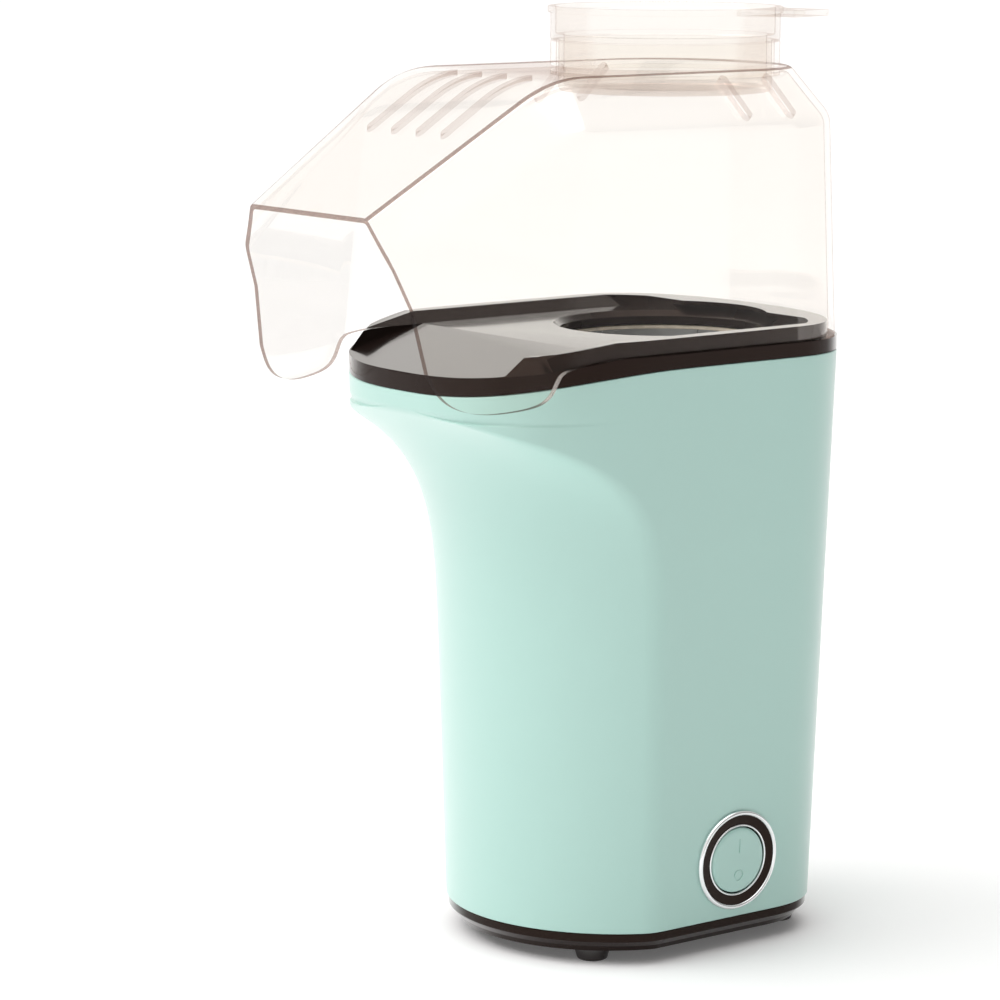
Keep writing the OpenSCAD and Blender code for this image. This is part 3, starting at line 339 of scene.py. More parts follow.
def rounded(points, radius, steps=4, loop=True):
    """A polyline with its corners rounded. radius is one number or one for each point."""
    out, n = [], len(points)
    for i, b in enumerate(points):
        r = radius[i] if isinstance(radius, (list, tuple)) else radius
        if r <= 0 or (not loop and i in (0, n - 1)):
            out.append(b)
            continue
        a, c = points[i - 1], points[(i + 1) % n]

        def toward(p):
            d = math.dist(p, b)
            s = min(r, 0.48 * d) / d
            return tuple(q + (e - q) * s for e, q in zip(p, b))
        out += bend(toward(a), b, toward(c), steps)
    return out


def baked(ob):
    """Applies ob's modifiers."""
    dg = bpy.context.evaluated_depsgraph_get()
    me = bpy.data.meshes.new_from_object(ob.evaluated_get(dg))
    old = ob.data
    ob.modifiers.clear()
    ob.data = me
    bpy.data.meshes.remove(old)
    return ob


def combine(base, tool, how):
    m = base.modifiers.new("combine", "BOOLEAN")
    m.operation, m.object, m.solver = how, tool, "EXACT"
    baked(base)
    me = tool.data
    bpy.data.objects.remove(tool)
    bpy.data.meshes.remove(me)
    return base


def with_painted_edge_shade(tool, index):
    """Marks a tool's faces, so that the faces it cuts show one of the clear cover's painted edge
    shades: dark tints standing in for the darkening refraction gives cut edges.
    """
    slots_for(tool)
    for p in tool.data.polygons:
        p.material_index = index
    return tool


def slots_for(ob):
    """Gives a form all materials of the clear cover, the plain one and its painted edge shades,
    with its marked faces kept.
    """
    shown = [p.material_index for p in ob.data.polygons]
    ob.data.materials.clear()
    for skin in COVER_FINISH_AND_EDGE_SHADES:
        ob.data.materials.append(M[skin])
    for p, index in zip(ob.data.polygons, shown):
        p.material_index = index
    return ob


def cut(base, *tools):
    for tool in tools:
        combine(base, tool, "DIFFERENCE")
    return base


def keep(base, *tools):
    for tool in tools:
        combine(base, tool, "INTERSECT")
    return base


def join(base, *tools):
    for tool in tools:
        combine(base, tool, "UNION")
    return base


def tidy_mesh(ob, dist=0.01):
    bm = bmesh.new()
    bm.from_mesh(ob.data)
    bmesh.ops.remove_doubles(bm, verts=bm.verts, dist=dist)
    bmesh.ops.dissolve_degenerate(bm, edges=bm.edges, dist=dist)
    bm.to_mesh(ob.data)
    bm.free()
    return ob


def bevel(ob, width, angle=30, segments=2):
    m = ob.modifiers.new("round", "BEVEL")
    m.width, m.segments, m.limit_method = width, segments, "ANGLE"
    m.angle_limit = math.radians(angle)
    m.miter_outer = "MITER_ARC"
    m.use_clamp_overlap = True
    return baked(ob)


def moved(ob, matrix):
    ob.data.transform(matrix)
    return ob


def shifted(ob, x=0.0, y=0.0, z=0.0):
    return moved(ob, Matrix.Translation((x, y, z)))


def finish_piece(ob, name, body, material, nodes, sharp=32, weigh=True, on_axis=True):
    """Brings a piece into the frame in metres, shades it and ties it to its body."""
    if on_axis:
        shifted(ob, y=AXIS_Y)
    moved(ob, Matrix.Scale(MM, 4))
    ob.name = name
    ob.data.name = name
    skins = material if isinstance(material, (list, tuple)) else [material]
    marks = [min(p.material_index, len(skins) - 1) for p in ob.data.polygons]
    ob.data.materials.clear()
    for skin in skins:
        ob.data.materials.append(skin)
    for p, mark in zip(ob.data.polygons, marks):
        p.use_smooth = True
        p.material_index = mark
    ob.data.set_sharp_from_angle(angle=math.radians(sharp))
    if weigh:
        m = ob.modifiers.new("weigh", "WEIGHTED_NORMAL")
        m.keep_sharp, m.mode, m.weight = True, "FACE_AREA", 60
    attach(ob, body)
    if nodes:
        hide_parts(*nodes)
    return ob


# ---- materials ---------------------------------------------------------------------
def linear(code):
    out = []
    for i in (1, 3, 5):
        v = int(code[i:i + 2], 16) / 255
        out.append(v / 12.92 if v <= 0.04045 else ((v + 0.055) / 1.055) ** 2.4)
    return (*out, 1.0)


class Tree:
    def __init__(self, name):
        self.mat = bpy.data.materials.new(name)
        self.mat.use_nodes = True
        self.nodes, self.links = self.mat.node_tree.nodes, self.mat.node_tree.links
        self.shader = next(n for n in self.nodes if n.type == "BSDF_PRINCIPLED")
        self.output = next(n for n in self.nodes if n.type == "OUTPUT_MATERIAL")
        self.place = self.nodes.new("ShaderNodeTexCoord").outputs["Object"]

    def new(self, kind, **values):
        n = self.nodes.new(kind)
        for key, value in values.items():
            setattr(n, key, value)
        return n

    def link(self, a, b):
        self.links.new(a, b)

    def noise(self, scale, detail=3.0, rough=0.55, stretch=(1, 1, 1), warp=0.0):
        m = self.new("ShaderNodeMapping")
        m.inputs["Scale"].default_value = stretch
        self.link(self.place, m.inputs["Vector"])
        n = self.new("ShaderNodeTexNoise")
        n.inputs["Scale"].default_value = scale
        n.inputs["Detail"].default_value = detail
        n.inputs["Roughness"].default_value = rough
        n.inputs["Distortion"].default_value = warp
        self.link(m.outputs["Vector"], n.inputs["Vector"])
        return n.outputs["Fac"]

    def spread(self, socket, lo, hi, a=0.35, b=0.65):
        m = self.new("ShaderNodeMapRange")
        m.inputs["From Min"].default_value, m.inputs["From Max"].default_value = a, b
        m.inputs["To Min"].default_value, m.inputs["To Max"].default_value = lo, hi
        self.link(socket, m.inputs["Value"])
        return m.outputs["Result"]

    def tones(self, socket, dark, light, a=0.35, b=0.65):
        r = self.new("ShaderNodeValToRGB")
        r.color_ramp.elements[0].position, r.color_ramp.elements[1].position = a, b
        r.color_ramp.elements[0].color, r.color_ramp.elements[1].color = dark, light
        self.link(socket, r.inputs["Fac"])
        return r.outputs["Color"]

    def bump(self, socket, strength, distance, under=None):
        b = self.new("ShaderNodeBump")
        b.inputs["Strength"].default_value = strength
        b.inputs["Distance"].default_value = distance
        self.link(socket, b.inputs["Height"])
        if under is not None:
            self.link(under, b.inputs["Normal"])
        return b.outputs["Normal"]


def shade(code, f):
    r, g, b, _ = linear(code)
    return (min(1, r * f), min(1, g * f), min(1, b * f), 1)


def moulded(name, code, rough=0.3, vary=0.05, grain=900, grain_depth=0.00002, coat=0.0,
            metal=0.0, spec=0.5, stretch=(1, 1, 1), cloud=24, speck=None, rough_vary=0.25,
            coat_rough=0.08, edge_coat=0.0, warm=None):
    """A plastic, painted or metal finish: cloudy tone, uneven gloss, fine moulded grain."""
    t = Tree(name)
    s = t.shader
    tone = t.tones(t.noise(cloud, 4, 0.6, warp=0.3), shade(code, 1 - vary), shade(code, 1 + vary))
    if speck:
        spots = t.noise(speck[1], 2, 0.4)
        mix = t.new("ShaderNodeMix", data_type="RGBA")
        t.link(t.spread(spots, 0, 1, speck[2], speck[2] + 0.05), mix.inputs["Factor"])
        t.link(tone, mix.inputs[6])
        mix.inputs[7].default_value = linear(speck[0])
        tone = mix.outputs[2]
    t.link(tone, s.inputs["Base Color"])
    fine = t.noise(grain, 3, 0.6, stretch)
    t.link(t.spread(t.noise(cloud * 5, 5, 0.65, stretch), rough * (1 - rough_vary),
                    rough * (1 + rough_vary)), s.inputs["Roughness"])
    t.link(t.bump(fine, 0.5, grain_depth), s.inputs["Normal"])
    s.inputs["Metallic"].default_value = metal
    s.inputs["Specular IOR Level"].default_value = spec
    s.inputs["Coat Weight"].default_value = coat
    if edge_coat:
        side = t.new("ShaderNodeLayerWeight")
        side.inputs["Blend"].default_value = 0.5
        t.link(t.spread(side.outputs["Facing"], coat, edge_coat, 0.55, 0.75),
               s.inputs["Coat Weight"])
    if warm:
        s.inputs["Specular Tint"].default_value = linear(warm)
    s.inputs["Coat Roughness"].default_value = coat_rough
    return t.mat


def clear_finish(name, facing, grazing, density=0, gloss=0.25, rough=0.03):
    """See-through plastic: one tint seen face on, another at a low angle, and soft reflections.

    The cover has several materials, the plain one and two painted edge shades, so none has a
    density: light that goes in by one and comes out by another would go on being soaked up in the
    air.
    """
    t = Tree(name)
    s = t.shader
    s.inputs["Base Color"].default_value = (0.93, 0.88, 0.86, 1)
    s.inputs["Metallic"].default_value = 1.0
    t.link(t.spread(t.noise(60, 4, 0.6), rough * 0.6, rough * 1.6), s.inputs["Roughness"])
    waves = t.bump(t.noise(22, 2, 0.5), 0.12, 0.0001)
    t.link(waves, s.inputs["Normal"])
    side = t.new("ShaderNodeLayerWeight")
    side.inputs["Blend"].default_value = 0.5
    t.link(waves, side.inputs["Normal"])
    through = t.new("ShaderNodeBsdfTransparent")
    t.link(t.tones(side.outputs["Facing"], facing, grazing, 0.86, 1.0), through.inputs["Color"])
    bounce = t.new("ShaderNodeFresnel")
    bounce.inputs["IOR"].default_value = 1.45
    t.link(waves, bounce.inputs["Normal"])
    mix = t.new("ShaderNodeMixShader")
    t.link(t.spread(bounce.outputs[0], 0, gloss, 0, 1), mix.inputs[0])
    t.link(through.outputs[0], mix.inputs[1])
    t.link(s.outputs[0], mix.inputs[2])
    t.link(mix.outputs[0], t.output.inputs["Surface"])
    if density:
        soak = t.new("ShaderNodeVolumeAbsorption")
        soak.inputs["Color"].default_value = SMOKE
        soak.inputs["Density"].default_value = density
        t.link(soak.outputs[0], t.output.inputs["Volume"])
    return t.mat


CREAM, MAUVE, SMOKE = (0.988, 0.982, 0.972, 1), (0.76, 0.68, 0.65, 1), (0.50, 0.38, 0.30, 1)
# PAINTED_EDGE_SHADE tints are painted shade: a dark brown line on the cover's cut edges and roof
# fold, standing in for the darkening that refraction gives there.
PAINTED_EDGE_SHADE, PAINTED_EDGE_SHADE_LOW = (0.44, 0.35, 0.32, 1), (0.30, 0.22, 0.20, 1)
# PAINTED_CUT_SHADE tints are painted shade too, lighter: a line on the vent walls standing in for
# the darkening that refraction gives there.
PAINTED_CUT_SHADE, PAINTED_CUT_SHADE_LOW = (0.84, 0.79, 0.77, 1), (0.62, 0.55, 0.52, 1)

M = {
    "mint_shell": moulded("mint_shell", "#b0d6cd", 0.36, 0.004, 2600, 0.000006, coat=0.7,
                          coat_rough=0.28, cloud=5, rough_vary=0.05),
    "dark_gloss": moulded("dark_gloss", "#1d1412", 0.16, 0.12, 2200, 0.000001, spec=0.16, cloud=30,
                          rough_vary=0.12, edge_coat=0.95, warm="#ffe0cd"),
    "foot_rubber": moulded("foot_rubber", "#241d1c", 0.35, 0.10, 1500, 0.00003, coat=0.2),
    "screw_steel": moulded("screw_steel", "#b8bcc0", 0.28, 0.08, 1800, 0.00001, metal=1.0,
                           stretch=(1, 1, 12)),
    "clear_plastic": clear_finish("clear_plastic", CREAM, MAUVE, gloss=0.13),
    "clear_cup": clear_finish("clear_cup", CREAM, MAUVE, density=7, gloss=0.18),
    # Painted shade: the dark edge-line tint for the cover's cut edges and roof fold.
    "clear_edge_painted_shade": clear_finish("clear_edge_painted_shade", PAINTED_EDGE_SHADE, PAINTED_EDGE_SHADE_LOW, rough=0.15),
    # Painted shade: the lighter line tint for the vent walls.
    "clear_cut_painted_shade": clear_finish("clear_cut_painted_shade", PAINTED_CUT_SHADE, PAINTED_CUT_SHADE_LOW, rough=0.15),
    "chrome_trim": moulded("chrome_trim", "#e9ebec", 0.09, 0.03, 2400, 0.000003, metal=1.0,
                           cloud=90),
    "black_plastic": moulded("black_plastic", "#26201f", 0.42, 0.12, 1300, 0.00003),
    "brass_tab": moulded("brass_tab", "#c9a35a", 0.3, 0.12, 1600, 0.00001, metal=1.0),
    "chamber_alu": moulded("chamber_alu", "#c9cbcc", 0.32, 0.06, 700, 0.00002, metal=1.0,
                           stretch=(1, 1, 0.04), cloud=40),
    "gasket_felt": moulded("gasket_felt", "#e6dccb", 0.9, 0.12, 2200, 0.0002, spec=0.2, cloud=200),
    "shroud_steel": moulded("shroud_steel", "#b4b8ba", 0.35, 0.10, 900, 0.00002, metal=1.0,
                            stretch=(1, 1, 0.05), cloud=50),
    "mica_board": moulded("mica_board", "#b9a98a", 0.5, 0.16, 900, 0.00008, cloud=260,
                          speck=("#6d5a3c", 700, 0.6)),
    "coil_wire": moulded("coil_wire", "#8a7f78", 0.4, 0.15, 2600, 0.00003, metal=1.0),
    "ceramic_body": moulded("ceramic_body", "#e9e4d8", 0.45, 0.06, 1500, 0.00003, coat=0.3,
                            speck=("#c9bfa8", 1500, 0.64)),
    "grey_plastic": moulded("grey_plastic", "#4d4a48", 0.45, 0.12, 1200, 0.00005),
    "rotor_copper": moulded("rotor_copper", "#b06a3c", 0.35, 0.2, 1800, 0.00008, metal=1.0,
                            stretch=(1, 1, 6)),
    "magnet_ferrite": moulded("magnet_ferrite", "#3c3c40", 0.6, 0.15, 1600, 0.00005),
    "bell_plastic": moulded("bell_plastic", "#e4e0d6", 0.4, 0.05, 1200, 0.00003),
    "bronze_bush": moulded("bronze_bush", "#b08a4a", 0.4, 0.15, 2600, 0.00004, metal=1.0),
    "carbon": moulded("carbon", "#2f2e30", 0.55, 0.15, 2600, 0.00004, spec=0.4),
    "board_laminate": moulded("board_laminate", "#6b7f4a", 0.4, 0.10, 1400, 0.00004, coat=0.3,
                              speck=("#8fa066", 900, 0.6)),
    "lead_white": moulded("lead_white", "#e8e8e4", 0.4, 0.04, 1500, 0.00002),
    "lead_red": moulded("lead_red", "#c0392b", 0.4, 0.08, 1500, 0.00002),
    "lead_cream": moulded("lead_cream", "#f2ead8", 0.7, 0.06, 3200, 0.0001, stretch=(1, 1, 3)),
}
for row in frame["record"]["subparts"]:
    skin = frame["nodes"][row["node"]].data
    skin.materials.clear()
    skin.materials.append(M[row["material_slot"]])


# ---- body shell ----------------------------------------------------------------------
def at(points, z):
    return [(x, y, z) for x, y in points]


def body_shell():
    def rim(t, drop):
        return [(x, y, top_edge(y) - drop) for x, y in outline(EDGE_Z, t, True)]
    rows = [at(outline(BODY_Z, 0.5, False), BODY_Z),
            at(outline(BODY_Z + 0.1, 0.18, False), BODY_Z + 0.15),
            at(outline(BODY_Z + 0.5, 0, False), BODY_Z + 0.5)]
    lo, hi, count = BODY_Z + 0.5, BAND_Z - 1.6, 70
    for i in range(1, count + 1):
        u = i / count
        z = lo + (hi - lo) * (1 - (1 - u) ** 1.9)
        rows.append(at(outline(z, 0, False), z))
    under = rows[-1]
    edge = at(outline(BAND_Z, 0, True), BAND_Z)

    def band(u, t=0.0):
        low, high = outline(BAND_Z, t, True), outline(EDGE_Z, t, True)
        return [(a + (c - a) * u, b + (d - b) * u, BAND_Z + (top_edge(d) - BAND_Z) * u)
                for (a, b), (c, d) in zip(low, high)]
    above = band(0.24)
    for i in range(1, 6):
        u = i / 6
        rows.append([tuple((1 - u) ** 2 * p + 2 * u * (1 - u) * q + u * u * r
                           for p, q, r in zip(*trio)) for trio in zip(under, edge, above)])
    rows += [above, band(0.5), band(0.75), rim(0, 0.55), rim(0.16, 0.16), rim(0.5, 0.0),
             rim(BODY_WALL, 0.0), band(0.5, BODY_WALL),
             at(outline(BAND_Z, BODY_WALL, True), BAND_Z)]
    for i in range(1, 25):
        z = BAND_Z - 1.6 - (BAND_Z - 1.6 - BODY_Z) * (i / 24) ** 1.6
        rows.append(at(outline(z, BODY_WALL, False), z))
    ob = grid_object("body", rows, close_columns=True)
    cut(ob, on_flank(rod(RING_R - SWITCH_HOLE_INSET, -12, 12, steps=96)))
    bore = rod(OUTLET_SEAT_R, -20, 20, steps=96)
    cut(ob, moved(bore, Matrix.Translation((0, REAR_REACH, BODY_Z + OUTLET_RISE))
                  @ Matrix.Rotation(math.pi / 2, 4, "X")))
    return finish_piece(ob, "body_shell", "appliance", M["mint_shell"], ["housing"],
                        sharp=40)


def on_flank(ob):
    """Stands a piece made around Z on the flank, at the switch."""
    m = (Matrix.Translation((half_at(SWITCH_Z), -SWITCH_FRONT, SWITCH_Z))
         @ Matrix.Rotation(math.pi / 2 + FLANK_TILT, 4, "Y"))
    return moved(ob, m)


body_shell()


# ---- base plate and feet ------------------------------------------------------------
def base():
    inset = PLATE_INSET
    outer = rounded([(inset + 4.0, PLATE_Z), (inset + 2.6, PLATE_Z + 1.9),
                     (inset, PLATE_Z + 4.2), (inset, BODY_Z - SEAM),
                     (PLATE_LIP_OUT, BODY_Z - SEAM)],
                    [0.5, 0.35, 0.35, 0.3, 0], 3, loop=False)
    rows = [at(outline(BODY_Z, t, False), z) for t, z in outer]
    rows += [at(outline(BODY_Z, t, False), z) for t, z in
             ((PLATE_LIP_OUT, BODY_Z + PLATE_LIP_RISE), (PLATE_LIP_IN, BODY_Z + PLATE_LIP_RISE),
              (PLATE_LIP_IN, PLATE_Z + 2.6))]
    ob = grid_object("plate", rows)
    slots = []
    for i in range(-3, 4):
        half = math.sqrt(INTAKE_R ** 2 - (abs(i) * INTAKE_PITCH + INTAKE_HALF) ** 2)
        left, right = i * INTAKE_PITCH - INTAKE_HALF, i * INTAKE_PITCH + INTAKE_HALF
        slots.append(prism(rounded([(left, -half), (right, -half), (right, half), (left, half)],
                                   0.8, 3), PLATE_Z - 1, PLATE_Z + 4))
    cut(ob, *slots)
    return finish_piece(ob, "base_tray", "appliance", M["dark_gloss"], ["base_plate"],
                        sharp=35)


base()


def feet():
    x, front, back = feet_hi.x - FOOT_R, feet_lo.y + FOOT_R, feet_hi.y - FOOT_R
    profile = rounded([(FOOT_BORE_R, PLATE_Z - 2), (FOOT_RECESS_R, PLATE_Z - 2),
                       (FOOT_RECESS_R, 0), (FOOT_TIP_R, 0), (FOOT_R, PLATE_Z - 1),
                       (FOOT_R, PLATE_Z), (FOOT_BORE_R, PLATE_Z)],
                      [0, 0.2, 0.5, 0.9, 0.5, 0.2, 0.2], 4)
    for i, (side, y) in enumerate([(1, front), (-1, front), (1, back), (-1, back)]):
        finish_piece(shifted(lathe(profile, 64), side * x, y), f"foot_{i + 1}", "appliance",
                     M["foot_rubber"], ["feet"] if i == 0 else [], on_axis=False)


feet()


# ---- cover form -----------------------------------------------------------------------
def beyond(a, b, y):
    """The point at y on the straight line from a through b."""
    s = (y - a[1]) / (b[1] - a[1])
    return tuple(p + (q - p) * s for p, q in zip(a, b))


# Rows of the roof fold's bend whose faces get a dark painted shade line.
ROOF_FOLD_SHADE_ROWS = range(14, 16)
COVER_FINISH_AND_EDGE_SHADES = ("clear_plastic", "clear_edge_painted_shade", "clear_cut_painted_shade")


def cover_form(t, deep, soft_scale=1.0, painted_shade_lines=False):
    """The cover's outer or inner form, open to nothing, with soft folds."""
    past = -CHUTE_REACH - 20 - deep
    low_z = LEDGE_Z - 24 - deep
    rear = REAR_REACH - COVER_REAR_INSET
    corners = [
        ((TOP_HALF + 1 - t, -FLANK_FRONT - 1.8, low_z),
         (MOUTH_HALF + 4.9 - t, -CHUTE_REACH + 5.6, low_z), rear + 0.6 - t, REAR_POWER, 3.0),
        ((CREASE_HALF - t, -CREASE_FRONT, CREASE_Z - 0.6 * t),
         (MOUTH_HALF - t, -CHUTE_REACH + 3.8, ROOF_Z - CHUTE_FALL - MOUTH_CHAMFER - 0.6 * t),
         rear - COVER_REAR_LEAN - t, REAR_POWER, 8.0),
        ((ROOF_HALF - 0.6 * t, -ROOF_FRONT - 0.2 * t, ROOF_Z - t),
         (MOUTH_TOP_HALF - 0.6 * t, -CHUTE_REACH, ROOF_Z - CHUTE_FALL - t),
         NECK_R + ROOF_MARGIN - 0.6 * t, 2.0, 14.0),
    ]
    levels = []
    for fold, end, back, power, soft in corners:
        start = beyond(fold, end, past)
        line = [start]
        for s in (0.25, 0.5, 0.75):
            line.append(tuple(p + (q - p) * s for p, q in zip(start, fold)))
        d = math.dist(start, fold)
        before = tuple(q + (p - q) * soft / d for p, q in zip(start, fold))
        after = (fold[0], fold[1] + soft, fold[2])
        line += bend(before, fold, after, 8)
        line += [(fold[0], fold[1] + soft + (REAR_STRAIGHT - fold[1] - soft) * i / 6, fold[2])
                 for i in range(1, 6)]
        for i in range(29):
            a = math.pi / 2 * i / 28
            x = 0 if i == 28 else fold[0] * lobe(math.cos(a), power)
            line.append((x, REAR_STRAIGHT + (back - REAR_STRAIGHT) * lobe(math.sin(a), power),
                         fold[2]))
        levels.append(line)
    columns = []
    for p0, p1, p2 in zip(*levels):
        s = (0, min(p2[1], REAR_STRAIGHT), p2[2])
        r1, r2 = 3.4 * soft_scale, 2.0 * soft_scale
        low, high = (rounded([p0, p1, p2], [0, r1, 0], 4, loop=False),
                     rounded([p1, p2, s], [0, r2, 0], 4, loop=False))
        start, end = low[-2], high[1]
        panel = [tuple(p + (q - p) * i / 8 for p, q in zip(start, end)) for i in range(1, 8)]
        columns.append(low[:-1] + panel + high[1:])
    full = columns + [[(-x, y, z) for x, y, z in c] for c in columns[-2::-1]]
    n, m = len(full[0]), len(full)
    verts = [p for c in full for p in c]
    faces = [(k * n + i, (k + 1) * n + i, (k + 1) * n + i + 1, k * n + i + 1)
             for k in range(m - 1) for i in range(n - 1)]
    faces.append(tuple(k * n for k in range(m)))
    faces.append(tuple(list(range(n)) + [(m - 1) * n + i for i in range(n - 2, -1, -1)]))
    # The fold's bend faces get the second material: a dark painted shade line along the roof fold.
    fold = {k * (n - 1) + i for k in range(m - 1) for i in ROOF_FOLD_SHADE_ROWS} if painted_shade_lines else ()
    return mesh_object("form", verts, faces, merge=0.001, painted_shade_lines=fold)


def smooth_line(points, passes=2):
    for _ in range(passes):
        out = [points[0]]
        for a, b in zip(points, points[1:]):
            out.append(tuple(0.75 * p + 0.25 * q for p, q in zip(a, b)))
            out.append(tuple(0.25 * p + 0.75 * q for p, q in zip(a, b)))
        points = out + [points[-1]]
    return points


def mouth_profile():
    """Side view of what the cover keeps: its lower edge, both lobes and the slanted mouth."""
    lobes = [(-SLIDE_START, LEDGE_Z + COVER_GAP), (-FLANK_FRONT + 2.2, LEDGE_Z - 1.5),
             (-FLANK_FRONT - 1.2, LEDGE_Z - LOBE_DROP * 0.21),
             (-FLANK_FRONT - 2.6, LEDGE_Z - LOBE_DROP * 0.35),
             (-FLANK_FRONT - 4.7, LEDGE_Z - LOBE_DROP * 0.65),
             (-FLANK_FRONT - 8, LEDGE_Z - LOBE_DROP * 0.84),
             (-FLANK_FRONT - 13, LEDGE_Z - LOBE_DROP * 0.94),
             (-FLANK_FRONT - 20, LEDGE_Z - LOBE_DROP),
             (-FLANK_FRONT - 27, LEDGE_Z - LOBE_DROP * 1.02),
             (-FLANK_FRONT - 33, LEDGE_Z - LOBE_DROP * 0.96),
             (-FLANK_FRONT - 38, LEDGE_Z - LOBE_DROP * 0.82),
             (-FLANK_FRONT - 41.6, LEDGE_Z - LOBE_DROP * 0.6),
             (-FLANK_FRONT - 44, LEDGE_Z - LOBE_DROP * 0.32),
             (-CHUTE_REACH + 13.5, LEDGE_Z - 1)]
    return ([(REAR_REACH + 20, LEDGE_Z + COVER_GAP)] + smooth_line(lobes)
            + [(-CHUTE_REACH + 9.6, LEDGE_Z + 20),
               (-CHUTE_REACH + 3.8, ROOF_Z - CHUTE_FALL - MOUTH_CHAMFER),
               (-CHUTE_REACH, ROOF_Z - CHUTE_FALL), (-CHUTE_REACH, NECK_Z + 30),
               (REAR_REACH + 20, NECK_Z + 30)])


def stadium(length, width, steps=8):
    e, r = length / 2 - width / 2, width / 2
    return ([(e + r * math.cos(a), r * math.sin(a)) for a in
             (-math.pi / 2 + math.pi * i / steps for i in range(steps + 1))]
            + [(-e - r * math.cos(a), -r * math.sin(a)) for a in
               (-math.pi / 2 + math.pi * i / steps for i in range(steps + 1))])


def clear_cover():
    ob = slots_for(cover_form(0, 0, painted_shade_lines=True))
    cut(ob, slots_for(cover_form(COVER_WALL, 4, 0.7)))
    # The lower edge and mouth faces this slab cuts get the dark painted edge shade.
    keep(ob, with_painted_edge_shade(side_slab(mouth_profile(), TOP_HALF + 20), 1))
    neck = [(NECK_R, ROOF_Z - COVER_WALL - 1.4), (NECK_R, NECK_Z),
            (NECK_R - COVER_WALL - 6, NECK_Z), (NECK_R - COVER_WALL - 6, ROOF_Z - COVER_WALL - 1.4)]
    join(ob, slots_for(lathe(neck, 128)))
    bore = lathe([(0, ROOF_Z - 12), (NECK_R - COVER_WALL, ROOF_Z - 12),
                  (NECK_R - COVER_WALL, NECK_Z + 20), (0, NECK_Z + 20)], 128, closed=False)
    cut(ob, slots_for(bore))
    # The walls of these vents get the lighter painted cut shade.
    for i in (-1.5, -0.5, 0.5, 1.5):
        vent = with_painted_edge_shade(prism(stadium(VENT_LENGTH, VENT_WIDTH), -30, 30), 2)
        cut(ob, moved(vent, Matrix.Translation(
            (i * VENT_PITCH, -ROOF_FRONT - VENT_LENGTH / 2 + 8.3, ROOF_Z - 8))
            @ Matrix.Rotation(math.pi / 2, 4, "Z")))
    # The walls of these vents get the lighter painted cut shade too.
    for s in (-1, 1):
        for y in (-11.6, 8.3):
            vent = with_painted_edge_shade(prism(stadium(CREASE_DROP + 4, VENT_WIDTH), -5, 5), 2)
            cut(ob, moved(vent, Matrix.Translation(
                (s * (CREASE_HALF - CREASE_INSET / 2), y, ROOF_Z - CREASE_DROP / 2))
                @ Matrix.Rotation(s * math.atan(CREASE_DROP / CREASE_INSET), 4, "Y")))
    tidy_mesh(ob)
    bevel(ob, 0.45, 40)
    return finish_piece(ob, "clear_cover", "cover_body",
                        [M[skin] for skin in COVER_FINISH_AND_EDGE_SHADES],
                        ["cover"], sharp=50)


clear_cover()


# ---- measuring cup --------------------------------------------------------------------
def cup():
    low, high = NECK_R - COVER_WALL - CUP_GAP, NECK_R
    sz = NECK_Z + COVER_GAP
    profile = rounded([
        (0, sz - CUP_DEPTH), (low, sz - CUP_DEPTH), (low, sz), (high, sz),
        (high, CUP_Z - RIM_HEIGHT), (high + RIM_OUT, CUP_Z - RIM_HEIGHT), (high + RIM_OUT, CUP_Z),
        (high - CUP_WALL, CUP_Z), (high - CUP_WALL, sz + CUP_WALL),
        (low - CUP_WALL, sz + CUP_WALL), (low - CUP_WALL, sz - CUP_DEPTH + CUP_WALL),
        (0, sz - CUP_DEPTH + CUP_WALL)],
        [0, 1.6, 0.4, 0.5, 0.3, 0.4, 0.5, 0.5, 0.8, 0.5, 1.2, 0], 4, loop=False)
    ob = lathe(profile, 128, closed=False)
    h, w = HANDLE_REACH, HANDLE_WIDTH / 2
    tab = prism(rounded([(high - 0.9, -w - 3), (high + 4, -w), (h, -w), (h, w), (high + 4, w),
                         (high - 0.9, w + 3)], [0, 3, 4, 4, 3, 0], 6),
                CUP_Z - RIM_HEIGHT, CUP_Z - 0.05)
    moved(tab, Matrix.Rotation(HANDLE_ANGLE, 4, "Z"))
    join(ob, tab)
    hole = lathe([(0, CUP_Z - 6), (2, CUP_Z - 6), (2, CUP_Z + 2), (0, CUP_Z + 2)], 32, closed=False)
    cut(ob, moved(hole, Matrix.Rotation(HANDLE_ANGLE, 4, "Z") @ Matrix.Translation((h - 6, 0, 0))))
    tidy_mesh(ob)
    bevel(ob, 0.35, 50)
    return finish_piece(ob, "butter_cup", "cup_body", M["clear_cup"],
                        ["measuring_cup"], sharp=50)


cup()


# ---- deck ---------------------------------------------------------------------------------
def deck_slab(drop, lift):
    """Side view of the deck, from the shell's edge up to its ledge and nose."""
    under = [(REAR_REACH + 20, EDGE_Z + SEAM - drop)]
    for i in range(25):
        y = -NOSE_STRAIGHT - NOSE_DEPTH * i / 24
        under.append((y, top_edge(y) + SEAM - drop))
    return side_slab(under + [
        (-NOSE_REACH - 20, top_edge(-NOSE_REACH) + SEAM - drop),
        (-NOSE_REACH - 20, NOSE_EDGE_Z + lift), (-NOSE_REACH, NOSE_EDGE_Z + lift),
        (-SLIDE_START, LEDGE_Z + lift), (REAR_REACH + 20, LEDGE_Z + lift)], TOP_HALF + 30)


def plan(t, z0, z1):
    return prism(outline(EDGE_Z, t, True), z0, z1)


def collar_tools(front):
    """What the raised collar stays inside: the cover's inner form and the collar's height."""
    return (cover_form(COVER_WALL + COVER_GAP + 0.1, 0, 0.7),
            side_slab([(REAR_REACH, LEDGE_Z - 1), (-SLIDE_START, LEDGE_Z - 1),
                       (front, ledge_at(front) - 1), (front, ledge_at(front) + COLLAR_HEIGHT),
                       (-SLIDE_START, COLLAR_Z), (REAR_REACH, COLLAR_Z)], TOP_HALF))


